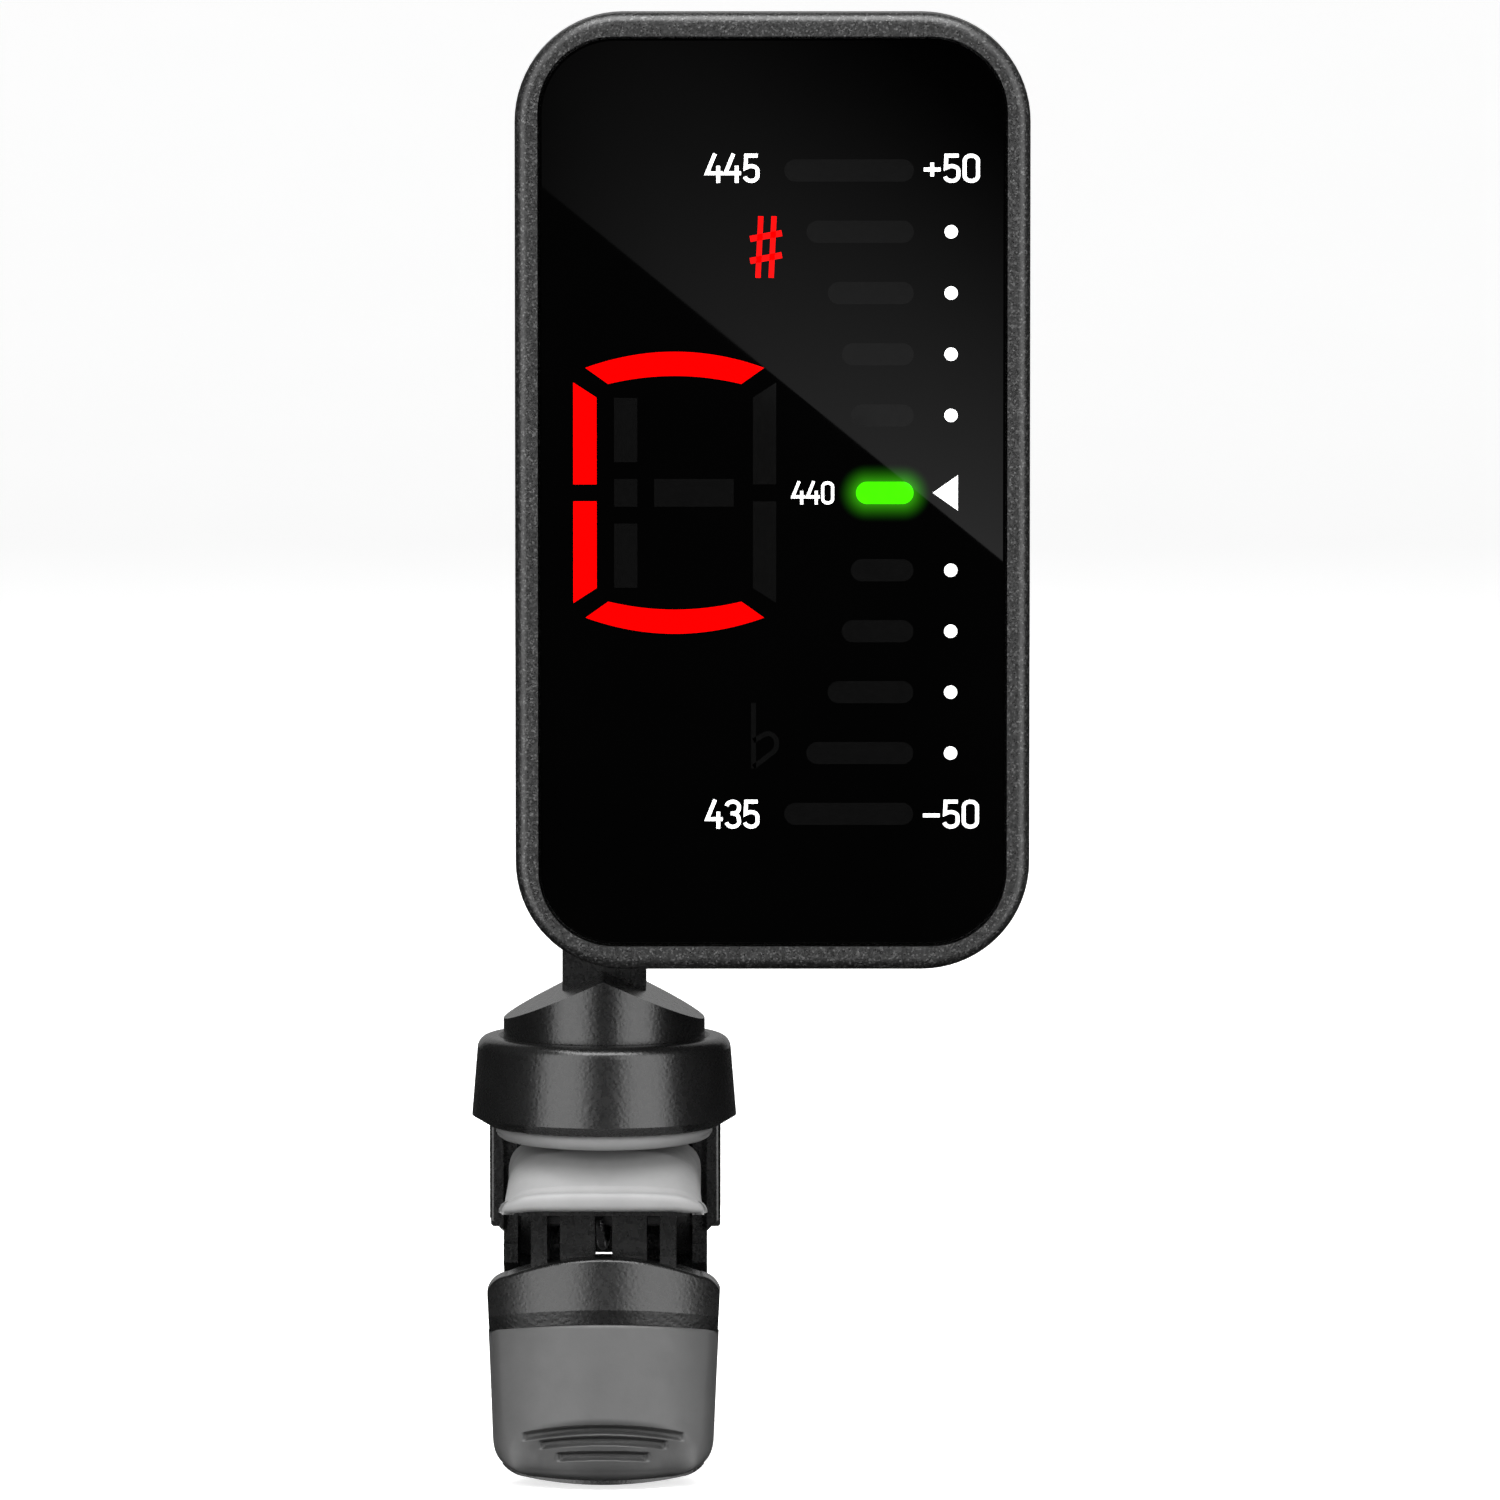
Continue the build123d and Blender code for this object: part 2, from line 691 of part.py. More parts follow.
with BuildPart() as tilt_washers:
    for side in (post_width / 2 + seat_fit, -post_width / 2 - seat_fit - washer_thick):
        with BuildSketch(Plane.YZ.offset(side)):
            with Locations((hinge_y, hinge_z)):
                Circle(post_depth / 2)
                Circle(tilt_shank + seat_fit, mode=Mode.SUBTRACT)
        extrude(amount=washer_thick)
save(tilt_washers, "tilt_washers")

# ================= swivel arm =================

# Turret: a short cylinder cut by two roof planes whose ridge runs front to back, with the post
# rising from its rear half to the hinge eye.
with BuildPart() as swivel_arm:
    with BuildSketch(Plane.XZ):
        Polygon((-turret_radius, turret_bottom), (turret_radius, turret_bottom), (turret_radius, eaves),
                (0, roof_peak), (-turret_radius, eaves), align=None)
    extrude(amount=turret_radius, both=True)
    with BuildSketch(Plane.XY.offset(turret_bottom)):
        Circle(turret_radius)
    extrude(amount=roof_peak, mode=Mode.INTERSECT)
    fillet(swivel_arm.edges().group_by(Axis.Z)[-1], roof_round)
    with BuildSketch(Plane.XY.offset(turret_bottom)):
        with Locations((0, post_depth / 2)):
            Rectangle(post_width, post_depth)
    extrude(amount=hinge_z - turret_bottom)
    with BuildSketch(Plane.YZ.offset(-post_width / 2)):
        with Locations((hinge_y, hinge_z)):
            Circle(post_depth / 2)
    extrude(amount=post_width)
    with Locations(Location((0, hinge_y, hinge_z), (0, 90, 0))):
        Cylinder(tilt_shank + turn_fit, 2 * post_width, mode=Mode.SUBTRACT)
    with Locations((0, 0, turret_bottom + swivel_thread / 2)):
        Cylinder(swivel_shank + seat_fit, swivel_thread, mode=Mode.SUBTRACT)
save(swivel_arm, "swivel_arm")

# Screw up through the collar floor into the turret, with a wave washer that sets the friction.
floor_under = collar_floor_bottom - seat_fit
with BuildPart() as swivel_screw:
    with BuildSketch(Plane.XY.offset(floor_under - swivel_washer_thick - seat_fit)):
        Circle(swivel_shank)
    extrude(amount=turret_bottom + swivel_thread - slide_fit - floor_under + swivel_washer_thick)
    with BuildSketch(Plane.XY.offset(floor_under - swivel_washer_thick - seat_fit - swivel_head_thick)):
        Circle(swivel_head)
    extrude(amount=swivel_head_thick)
    with BuildSketch(Plane.XY.offset(floor_under - swivel_washer_thick - seat_fit - swivel_head_thick)):
        Rectangle(swivel_head, swivel_shank / 2)
        Rectangle(swivel_shank / 2, swivel_head)
    extrude(amount=swivel_head_thick / 2, mode=Mode.SUBTRACT)
save(swivel_screw, "swivel_screw")

with BuildPart() as swivel_washer:
    with BuildSketch(Plane.XY.offset(floor_under - swivel_washer_thick)):
        Circle(swivel_head)
        Circle(swivel_shank + seat_fit, mode=Mode.SUBTRACT)
    extrude(amount=swivel_washer_thick)
save(swivel_washer, "swivel_washer")

# ================= fixed jaw =================

back_inside = frame_back - back_wall
handle_inner = frame_back - handle_thick

# The cheeks and rear wall are shaped before they join the collar, so that their edges stay whole.
with BuildPart() as cheeks:
    with BuildSketch(Plane.YZ.offset(-cheek_half)):
        Polygon((cheek_front, frame_shoulder), (frame_back - back_wall, frame_shoulder),
                (frame_back, frame_shoulder - 2 * back_wall), (frame_back, cheek_bottom),
                (cheek_front, cheek_bottom), align=None)
    extrude(amount=2 * cheek_half)
    chamfer(cheeks.faces().sort_by(Axis.Z)[0].edges().filter_by(Axis.Y), cheek_step)
    fillet(cheeks.edges().filter_by(Axis.Z).group_by(Axis.Y)[0], edge_round)

# Collar, cheeks, rear wall and rear handle in one moulding.
with BuildPart() as jaw_frame:
    with BuildSketch(Plane.XZ):
        Polygon((0, collar_bottom), (collar_bottom_radius, collar_bottom), (collar_radius, collar_wide),
                (collar_top_radius, collar_top), (0, collar_top), align=None)
    revolve(axis=Axis.Z)
    fillet(jaw_frame.faces().sort_by(Axis.Z)[-1].edges(), collar_round)
    add(cheeks.part)
    with BuildSketch(Plane.YZ.offset(-wall_half)):
        Polygon((cheek_front, cheek_bottom), (frame_back, cheek_bottom),
                (frame_back + handle_lean, handle_bottom),
                (frame_back + handle_lean - handle_thick, handle_bottom),
                (handle_inner, pivot_z - 2 * hub_radius),
                (cheek_front, pivot_z - hub_radius), align=None)
    extrude(amount=2 * wall_half)
    fillet(jaw_frame.faces().sort_by(Axis.Z)[0].edges().filter_by(Axis.Y), corner_width)
    ridge_run = handle_lean / (cheek_bottom - handle_bottom)
    for row in range(handle_ridges):
        ridge_z = handle_bottom + (row + 2) * ridge_pitch
        ridge_y = frame_back + (cheek_bottom - ridge_z) * ridge_run
        with BuildSketch(Plane.YZ.offset(-ridge_half)):
            Polygon((ridge_y - ridge_height, ridge_z + ridge_height), (ridge_y + ridge_height, ridge_z),
                    (ridge_y - ridge_height, ridge_z - ridge_height), align=None)
        extrude(amount=2 * ridge_half)
    with BuildSketch(Plane.YZ.offset(-inside_half)):
        Polygon((cheek_front - cut_over, web_bottom), (cheek_front + web_thick, web_bottom),
                (cheek_front + web_thick, collar_bottom), (back_inside, collar_bottom),
                (back_inside, pivot_z - hub_radius), (handle_inner, pivot_z - 2 * hub_radius - cut_over),
                (cheek_front - cut_over, pivot_z - 2 * hub_radius - cut_over), align=None)
    extrude(amount=2 * inside_half, mode=Mode.SUBTRACT)
    for side in (-wall_half, inside_half):
        with BuildSketch(Plane.YZ.offset(side)):
            Polygon((cheek_front - cut_over, collar_bottom), (cheek_front + mouth_step, collar_bottom),
                    (cheek_front + mouth_step, cheek_bottom - mouth_step),
                    (cheek_front - cut_over, cheek_bottom - mouth_step), align=None)
        extrude(amount=wall_thick, mode=Mode.SUBTRACT)
    with BuildSketch(Plane.XY.offset(collar_floor_top)):
        Circle(collar_bore)
    extrude(amount=collar_top, mode=Mode.SUBTRACT)
    chamfer(jaw_frame.edges().filter_by(GeomType.CIRCLE).filter_by(
        lambda rim: abs(rim.radius - collar_bore) < seat_fit).sort_by(Axis.Z)[-1], bore_chamfer)
    with Locations((0, 0, collar_floor_bottom)):
        Cylinder(swivel_shank + turn_fit, collar_floor_top, mode=Mode.SUBTRACT)
    with BuildSketch(Plane.XY.offset(collar_floor_bottom)):
        Circle(swivel_recess)
    extrude(amount=-collar_floor_bottom, mode=Mode.SUBTRACT)
    with Locations(Location((0, pivot_y, pivot_z), (0, 90, 0))):
        Cylinder(pin_radius + seat_fit, 4 * cheek_half, mode=Mode.SUBTRACT)
    with BuildSketch(Plane.XZ.offset(-back_inside + cut_over)):
        with Locations((0, window_top - window_half)):
            RectangleRounded(2 * window_half, 2 * window_half, window_half / 4)
    extrude(amount=-3 * back_wall - cut_over, mode=Mode.SUBTRACT)
save(jaw_frame, "jaw_frame")

# Rubber pad under the collar: round in front, square against the web.
with BuildPart() as upper_pad:
    with BuildSketch(Plane.XY):
        Circle(upper_pad_radius)
        with Locations((0, jaw_back / 2)):
            Rectangle(2 * upper_pad_radius, jaw_back)
        with Locations((0, jaw_back - upper_pad_radius * 2)):
            Rectangle(4 * upper_pad_radius, 4 * upper_pad_radius, mode=Mode.INTERSECT)
    extrude(amount=collar_bottom)
    fillet(upper_pad.faces().sort_by(Axis.Z)[0].edges(), pad_round)
save(upper_pad, "upper_pad")

with BuildPart() as pivot_pin:
    with Locations(Location((0, pivot_y, pivot_z), (0, 90, 0))):
        Cylinder(pin_radius, 2 * cheek_half)
    chamfer(pivot_pin.edges().filter_by(GeomType.CIRCLE), slide_fit)
save(pivot_pin, "pivot_pin")

# Closing spring: a coil around the pin with one leg on the rear wall and one under the lever.
coil_length = 2 * spring_share * (ear_half - ear_thick)
with BuildPart() as torsion_spring:
    coil = Helix(coil_length / spring_turns, coil_length, spring_coil, center=(-coil_length / 2, pivot_y, pivot_z),
                 direction=(1, 0, 0), mode=Mode.PRIVATE)
    with BuildLine():
        add(coil)
    with BuildSketch(Plane(origin=coil @ 0, z_dir=coil % 0)):
        Circle(spring_wire)
    sweep(is_frenet=True)
    for end, leg in ((0, -rear_leg), (1, front_leg)):
        with BuildSketch(Plane(origin=coil @ end, z_dir=coil % end)):
            Circle(spring_wire)
        extrude(amount=leg)
save(torsion_spring, "torsion_spring")

# ================= moving jaw =================

# Plane across the lever, square to its lean: X right, Y towards the front, Z down the lever.
lean = radians(lever_lean)
lever_plane = Plane(origin=(0, lever_front, lever_top), x_dir=(1, 0, 0), z_dir=(0, -sin(lean), -cos(lean)))


def draw_lever_section(front, back, half):
    """Sketch the bowed section of the lever between two depths, out to half its width."""
    with Locations((0, front - lever_bow)):
        Circle(lever_bow)
    with Locations((0, back - lever_bow)):
        Circle(lever_bow, mode=Mode.SUBTRACT)
    with Locations((0, -lever_bow / 4)):
        Rectangle(2 * half, 2 * lever_bow / 3, mode=Mode.INTERSECT)


def draw_lever_front():
    """Sketch the lever as seen from the front: arched top, sides drawing in, round lower corners."""
    arch_half = band_half - lever_arch
    shoulder = lever_top - lever_shoulder
    low_half = lever_half_low - corner_width
    with BuildLine() as outline:
        ThreePointArc((-arch_half, lever_top - lever_arch), (0, lever_top), (arch_half, lever_top - lever_arch))
        ThreePointArc((-low_half, lever_bottom + bottom_rise), (0, lever_bottom),
                      (low_half, lever_bottom + bottom_rise))
        for side in (1, -1):
            ThreePointArc((side * arch_half, lever_top - lever_arch),
                          (side * (band_half - lever_arch / 3), lever_top - lever_arch * 4 / 3),
                          (side * band_half, shoulder))
            Line((side * band_half, shoulder), (side * lever_half_low, lever_bottom + corner_height))
            ThreePointArc((side * lever_half_low, lever_bottom + corner_height),
                          (side * (lever_half_low - corner_width / 3), lever_bottom + corner_height / 2.3),
                          (side * low_half, lever_bottom + bottom_rise))
    make_face(outline.edges())


# Band across the top of the lever, standing proud of the grip below it.
with BuildPart() as lever_band:
    with BuildSketch(lever_plane.offset(-band_height)):
        draw_lever_section(0, -band_thick, band_half)
    extrude(amount=2 * band_height + band_bevel)
    with BuildSketch(Plane.XZ):
        draw_lever_front()
    extrude(amount=4 * band_half, both=True, mode=Mode.INTERSECT)
    band_face = lever_band.faces().sort_by(Axis.Y)[0]
    chamfer(band_face.edges().sort_by(Axis.Z)[0], band_bevel, grip_recess, reference=band_face)
    band_face = lever_band.faces().filter_by(GeomType.CYLINDER).sort_by(Axis.Y)[0]
    fillet(band_face.edges().sort_by(Axis.Z)[-3:], band_round)

# Pad seat, two ears with hubs on the pin, the slotted rib and the core under the grip.
with BuildPart() as jaw_lever:
    with BuildSketch(lever_plane.offset(band_height)):
        draw_lever_section(-grip_recess - grip_thick, -band_thick, band_half - grip_thick)
    extrude(amount=lever_length)
    with BuildSketch(Plane.XZ):
        draw_lever_front()
    extrude(amount=4 * band_half, both=True, mode=Mode.INTERSECT)
    add(lever_band.part)
    for side, thick in ((-ear_half, ear_thick), (ear_half - ear_thick, ear_thick),
                        (-rib_half, rib_half - slot_half), (slot_half, rib_half - slot_half)):
        with BuildSketch(Plane.YZ.offset(side)):
            Polygon((rib_front, seat_bottom), (jaw_back - pad_tail, seat_bottom),
                    (pivot_y - 2 * hub_radius, pivot_z), (rib_foot, lever_top - 2 * band_height),
                    (rib_front, lever_top), align=None)
        extrude(amount=thick)
    with BuildSketch(Plane.YZ.offset(-seat_half)):
        Polygon((seat_front, seat_bottom - seat_drop), (seat_front, seat_top - seat_lip),
                (pad_slope_start, seat_slope), (jaw_back - pad_tail, seat_slope),
                (jaw_back - pad_tail, seat_bottom), align=None)
    extrude(amount=2 * seat_half)
    for side in (-ear_half, ear_half - ear_thick):
        with BuildSketch(Plane.YZ.offset(side)):
            with Locations((pivot_y, pivot_z)):
                Circle(hub_radius)
            Polygon((jaw_back - pad_tail, seat_slope - 2 * seat_drop), (pivot_y, pivot_z + hub_radius),
                    (pivot_y, pivot_z - hub_radius), (ear_root, pivot_z - hub_radius),
                    (ear_root, seat_bottom), align=None)
        extrude(amount=ear_thick)
    for side in (-inside_half + slide_fit, ear_half):
        with BuildSketch(Plane.YZ.offset(side)):
            with Locations((pivot_y, pivot_z)):
                Circle(hub_radius)
        extrude(amount=inside_half - slide_fit - ear_half)
    with Locations(Location((0, pivot_y, pivot_z), (0, 90, 0))):
        Cylinder(pin_radius + turn_fit, 4 * cheek_half, mode=Mode.SUBTRACT)
save(jaw_lever, "jaw_lever")

# Rubber boot over the pad seat: rounded along its upper edges, sloping down to the front lip.
with BuildPart() as lower_pad:
    with BuildSketch(Plane.YZ.offset(-pad_half)):
        Polygon((pad_front, pad_lip_bottom), (pad_front, pad_lip_top), (pad_slope_start, -pad_gap),
                (jaw_back, -pad_gap), (jaw_back, pad_lip_bottom + pad_tail),
                (jaw_back - 2 * pad_tail, pad_lip_bottom), align=None)
    extrude(amount=2 * pad_half)
    upper_faces = lower_pad.faces().sort_by(Axis.Z)[-2:]
    long_edges = [edge for face in upper_faces for edge in face.edges() if edge.center().X ** 2 > 1]
    fillet(long_edges, pad_crown)
    add(jaw_lever.part, mode=Mode.SUBTRACT)
save(lower_pad, "lower_pad")

# Rubber grip moulded over the front, sides and end of the lever.
with BuildPart() as lever_grip:
    with BuildSketch(lever_plane.offset(band_height + band_bevel)):
        draw_lever_section(-grip_recess, -band_thick, band_half)
    extrude(amount=lever_length)
    with BuildSketch(Plane.XZ):
        draw_lever_front()
    extrude(amount=4 * band_half, both=True, mode=Mode.INTERSECT)
    add(jaw_lever.part, mode=Mode.SUBTRACT)
save(lever_grip, "lever_grip")
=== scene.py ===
import math

import bpy
import mathutils
import numpy as np
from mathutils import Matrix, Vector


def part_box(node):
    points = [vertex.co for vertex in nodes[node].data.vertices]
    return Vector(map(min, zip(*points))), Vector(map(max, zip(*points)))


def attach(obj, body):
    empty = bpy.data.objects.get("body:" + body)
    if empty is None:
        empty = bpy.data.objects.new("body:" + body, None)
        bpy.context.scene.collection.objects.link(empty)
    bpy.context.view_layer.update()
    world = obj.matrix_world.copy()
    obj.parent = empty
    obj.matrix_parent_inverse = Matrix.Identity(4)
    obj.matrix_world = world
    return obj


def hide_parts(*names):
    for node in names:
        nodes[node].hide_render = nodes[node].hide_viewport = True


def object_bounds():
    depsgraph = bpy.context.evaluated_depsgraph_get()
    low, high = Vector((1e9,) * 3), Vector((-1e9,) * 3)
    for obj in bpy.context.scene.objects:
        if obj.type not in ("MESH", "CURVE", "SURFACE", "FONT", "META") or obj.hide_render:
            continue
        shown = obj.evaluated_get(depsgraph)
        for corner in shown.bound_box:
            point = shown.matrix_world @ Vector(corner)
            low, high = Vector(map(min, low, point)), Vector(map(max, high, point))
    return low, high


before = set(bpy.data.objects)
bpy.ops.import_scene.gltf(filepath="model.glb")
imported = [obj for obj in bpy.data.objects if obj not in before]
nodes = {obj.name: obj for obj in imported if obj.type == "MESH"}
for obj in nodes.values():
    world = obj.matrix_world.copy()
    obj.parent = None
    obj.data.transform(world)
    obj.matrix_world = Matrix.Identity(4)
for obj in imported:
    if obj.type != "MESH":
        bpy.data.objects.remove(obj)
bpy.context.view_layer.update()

# ================================= fixed jaw =================================
# Collar, cheeks and rear handle are one moulding in satin black nylon. The tool was eroded to a
# fine leathery grain, which breaks up every highlight. The turret, lever and rear cover match it.


def new_material(name):
    """A Principled material: returns the material, its node tree, its shader and the link call."""
    material = bpy.data.materials.new(name)
    material.use_nodes = True
    tree = material.node_tree
    return material, tree, tree.nodes["Principled BSDF"], tree.links.new


def object_point(tree, scale):
    """Object coordinates in metres times a scale, so one pattern unit is 1 / scale metres."""
    place = tree.nodes.new("ShaderNodeTexCoord")
    mapping = tree.nodes.new("ShaderNodeMapping")
    mapping.inputs["Scale"].default_value = scale if hasattr(scale, "__len__") else (scale,) * 3
    tree.links.new(place.outputs["Object"], mapping.inputs["Vector"])
    return mapping.outputs["Vector"]


def noise(tree, scale, detail=3.0, roughness=0.55):
    """Noise on object coordinates with features about 1 / scale metres across."""
    node = tree.nodes.new("ShaderNodeTexNoise")
    node.inputs["Scale"].default_value = 1.0
    node.inputs["Detail"].default_value = detail
    node.inputs["Roughness"].default_value = roughness
    tree.links.new(object_point(tree, scale), node.inputs["Vector"])
    return node.outputs["Fac"]


def cells(tree, scale):
    """Voronoi cells about 1 / scale metres across: returns the node."""
    node = tree.nodes.new("ShaderNodeTexVoronoi")
    node.inputs["Scale"].default_value = 1.0
    tree.links.new(object_point(tree, scale), node.inputs["Vector"])
    return node


def ramp(tree, value, stops):
    """Map a value to the colours or greys of the given (position, colour) stops."""
    node = tree.nodes.new("ShaderNodeValToRGB")
    node.color_ramp.elements[0].position = stops[0][0]
    node.color_ramp.elements[1].position = stops[-1][0]
    for position, colour in stops[1:-1]:
        node.color_ramp.elements.new(position)
    for element, (position, colour) in zip(node.color_ramp.elements, stops):
        element.color = (*(colour if hasattr(colour, "__len__") else (colour,) * 3), 1)
    tree.links.new(value, node.inputs["Fac"])
    return node.outputs["Color"]


def bump(tree, shader, *heights):
    """Stack bumps on the shader's normal, each a (height socket, strength, depth in metres)."""
    below = None
    for height, strength, depth in heights:
        node = tree.nodes.new("ShaderNodeBump")
        node.inputs["Strength"].default_value = strength
        node.inputs["Distance"].default_value = depth
        tree.links.new(height, node.inputs["Height"])
        if below:
            tree.links.new(below, node.inputs["Normal"])
        below = node.outputs["Normal"]
    tree.links.new(below, shader.inputs["Normal"])


def grained_plastic(name, dark, light, roughness, grain, depth):
    """Satin plastic: slow drift in tone and gloss, and a grain of small rounded cells."""
    material, tree, shader, link = new_material(name)
    link(ramp(tree, noise(tree, 260), [(0.3, dark), (0.7, light)]), shader.inputs["Base Color"])
    link(ramp(tree, noise(tree, 2600, 3), [(0.25, roughness - 0.03), (0.75, roughness + 0.04)]),
         shader.inputs["Roughness"])
    leather = cells(tree, grain)
    leather.feature = "SMOOTH_F1"
    bump(tree, shader, (leather.outputs["Distance"], 0.5, depth), (noise(tree, 2 * grain, 2), 0.3, depth))
    return material


black_nylon = grained_plastic("black_nylon", 0.005, 0.008, 0.27, 4200, 0.000022)
for name in ("jaw_frame", "swivel_arm", "jaw_lever"):
    nodes[name].material_slots[0].material = black_nylon

# Upper pad: a thin disc of light grey silicone rubber glued under the collar, round in front and
# square behind, with a soft rolled lower edge.


def rubber(name, dark, light, roughness):
    """Soft rubber: mottled tone, matt, with a very fine grain and a little sheen."""
    material, tree, shader, link = new_material(name)
    link(ramp(tree, noise(tree, 420, 5), [(0.3, dark), (0.7, light)]), shader.inputs["Base Color"])
    link(ramp(tree, noise(tree, 1100, 4), [(0.3, roughness - 0.05), (0.7, roughness + 0.08)]),
         shader.inputs["Roughness"])
    shader.inputs["Sheen Weight"].default_value = 0.1
    bump(tree, shader, (noise(tree, 2600, 4), 0.2, 0.00004), (noise(tree, 500, 2), 0.15, 0.00005))
    return material


def skin(name, points, body, material, around=False, poles=False):
    """Mesh of a grid of points (rows, columns, 3), each cell a quad. around joins the last column
    to the first, and poles closes the first and last rows onto their middle points."""
    rows, columns = points.shape[:2]
    index = np.arange(rows * columns).reshape(rows, columns)
    if around:
        index = np.concatenate([index, index[:, :1]], axis=1)
    quads = np.stack([index[:-1, :-1], index[:-1, 1:], index[1:, 1:], index[1:, :-1]], axis=-1).reshape(-1, 4)
    places = points.reshape(-1, 3)
    faces = quads.tolist()
    if poles:
        places = np.concatenate([places, points[0].mean(0)[None], points[-1].mean(0)[None]])
        first, last = rows * columns, rows * columns + 1
        top = np.stack([np.full(index.shape[1] - 1, first), index[0, 1:], index[0, :-1]], axis=-1)
        end = np.stack([np.full(index.shape[1] - 1, last), index[-1, :-1], index[-1, 1:]], axis=-1)
        faces += top.tolist() + end.tolist()
    mesh = bpy.data.meshes.new(name)
    mesh.from_pydata(places.tolist(), [], faces)
    mesh.shade_smooth()
    mesh.materials.append(material)
    piece = bpy.data.objects.new(name, mesh)
    bpy.context.scene.collection.objects.link(piece)
    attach(piece, body)
    return piece


pad_rubber = rubber("pad_rubber", 0.185, 0.205, 0.55)
low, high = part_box("upper_pad")
pad_radius = high.x
corner = 0.0009
front_steps, corner_steps = 61, 9
turn = np.linspace(math.pi, 2 * math.pi, front_steps)
quarter = np.linspace(0, math.pi / 2, corner_steps)
# the outline is a half circle in front and two small corners behind, each about its own centre
centres = np.concatenate([np.zeros((front_steps, 2)),
                          np.tile((pad_radius - corner, high.y - corner), (corner_steps, 1)),
                          np.tile((corner - pad_radius, high.y - corner), (corner_steps, 1))])
spokes = np.concatenate([turn, quarter, quarter + math.pi / 2])
reach = np.concatenate([np.full(front_steps, pad_radius), np.full(2 * corner_steps, corner)])
# the rows run from the top, over the rolled lower edge, to the middle of the underside
roll = np.linspace(0, math.pi / 2, 10)
thick = high.z - low.z
pad_sag = 0.00012
inset = np.concatenate([[0.003, 0.0003, 0.00008, 0], 0.0007 * (1 - np.cos(roll)), [0.0016, 0.003, 0.0055]])
level = np.concatenate([[high.z, high.z, high.z - 0.0001, high.z - 0.0003],
                        low.z + 0.0006 * (1 - np.sin(roll)), [low.z, low.z, low.z]])
way = np.stack([np.cos(spokes), np.sin(spokes)], axis=-1)
ring = centres[None] * np.clip(1 - inset[:, None, None] / pad_radius, 0, 1) + \
    way[None] * np.clip(reach[None, :, None] - inset[:, None, None], 0, None)
height = level[:, None] + pad_sag * (ring[..., 0] / pad_radius) ** 2 * (level[:, None] < low.z + thick / 2)
cushion = skin("upper_pad_rubber", np.concatenate([ring, height[..., None]], axis=-1)[:, ::-1], "fixed_jaw",
               pad_rubber, around=True, poles=True)
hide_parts("upper_pad")

# Pivot pin and torsion spring: plated steel wire and rod, drawn lengthways, so they have fine
# streaks along their length. The screws, nut and washers elsewhere are the same steel.


def plated_steel(name, colour, roughness, streak):
    """Plated metal: streaks stretched along one axis vary both tone and gloss."""
    material, tree, shader, link = new_material(name)
    dim = tuple(0.82 * part for part in colour)
    link(ramp(tree, noise(tree, streak, 4), [(0.3, dim), (0.7, colour)]), shader.inputs["Base Color"])
    link(ramp(tree, noise(tree, streak, 5), [(0.25, roughness - 0.08), (0.75, roughness + 0.1)]),
         shader.inputs["Roughness"])
    shader.inputs["Metallic"].default_value = 1.0
    bump(tree, shader, (noise(tree, 3000, 3), 0.15, 0.00002))
    return material


steel = plated_steel("plated_steel", (0.56, 0.56, 0.57), 0.28, (300, 6000, 6000))
for name in ("pivot_pin", "torsion_spring", "swivel_screw", "swivel_washer", "tilt_screw", "tilt_nut",
             "tilt_washers", "case_screws"):
    nodes[name].material_slots[0].material = steel

# ================================= moving jaw =================================
# Lower pad: a light grey rubber boot pulled over the seat of the lever. It is crowned from side to
# side, slopes down to the front and ends in a rolled bead.

low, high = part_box("lower_pad")
half = high.x
# the rows run from the back, down the slope and round the bead, which is given row by row
slope_start, bead_start = -0.0046, -0.0086
slope_run, slope_drop = 0.0095 - 0.0046, 0.0028 - 0.0001
bead_y = [-0.0088, -0.0090, -0.0092, -0.00935, -0.00945, low.y, low.y, -0.00948, -0.0094, -0.0092, -0.0088]
bead_z = [-0.00256, -0.00262, -0.00264, -0.00276, -0.00292, -0.0032, -0.0035, -0.0037, -0.0038, -0.00392,
          -0.00398]
bead_tuck = np.array([0.0, 0.00003, 0.0001, 0.0002, 0.0004, 0.0008])
along = np.concatenate([np.linspace(high.y, slope_start, 14), np.linspace(slope_start, bead_start, 24)[1:],
                        bead_y])
crest_soft, crest_reach = 0.00012, 0.0011
top = high.z - np.clip(slope_start - along, 0, None) * (slope_drop / slope_run)
top = top - crest_soft * np.exp(-((along - slope_start) / crest_reach) ** 2)
top[-len(bead_z):] = bead_z
web_y, web_step = 0.0022, 0.001
rim = np.where(along < web_y, low.z, low.z + web_step)
front_share = np.clip((slope_start - along) / slope_run, 0, 1)
wide = half - 0.0002 * (1 - front_share) + 0.00006 * (along < -0.0089)
wide[-len(bead_tuck):] -= bead_tuck
# each row is a superellipse over the underside, which hangs a little at the corners in front
angle = np.linspace(-math.pi / 2, math.pi / 2, 61)
power = 2 / 3.2
corner_hang, corner_sweep = 0.00045, 0.0009
across = np.sign(np.sin(angle)) * np.abs(np.sin(angle)) ** power
rise = np.abs(np.cos(angle)) ** power
x = wide[:, None] * across[None]
near_corner = np.exp(-((np.abs(across[None]) - 0.9) / 0.12) ** 2)
underside = rim[:, None] - corner_hang * front_share[:, None] * near_corner
z = underside + (top[:, None] - underside) * rise[None]
y = along[:, None] + corner_sweep * (np.abs(across[None]) ** 6) * front_share[:, None]
boot = skin("lower_pad_boot", np.stack([x, y, z], axis=-1)[:, ::-1], "lever", pad_rubber)
wall = boot.modifiers.new("wall", "SOLIDIFY")
wall.thickness = 0.0008
wall.offset = -1
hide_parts("lower_pad")

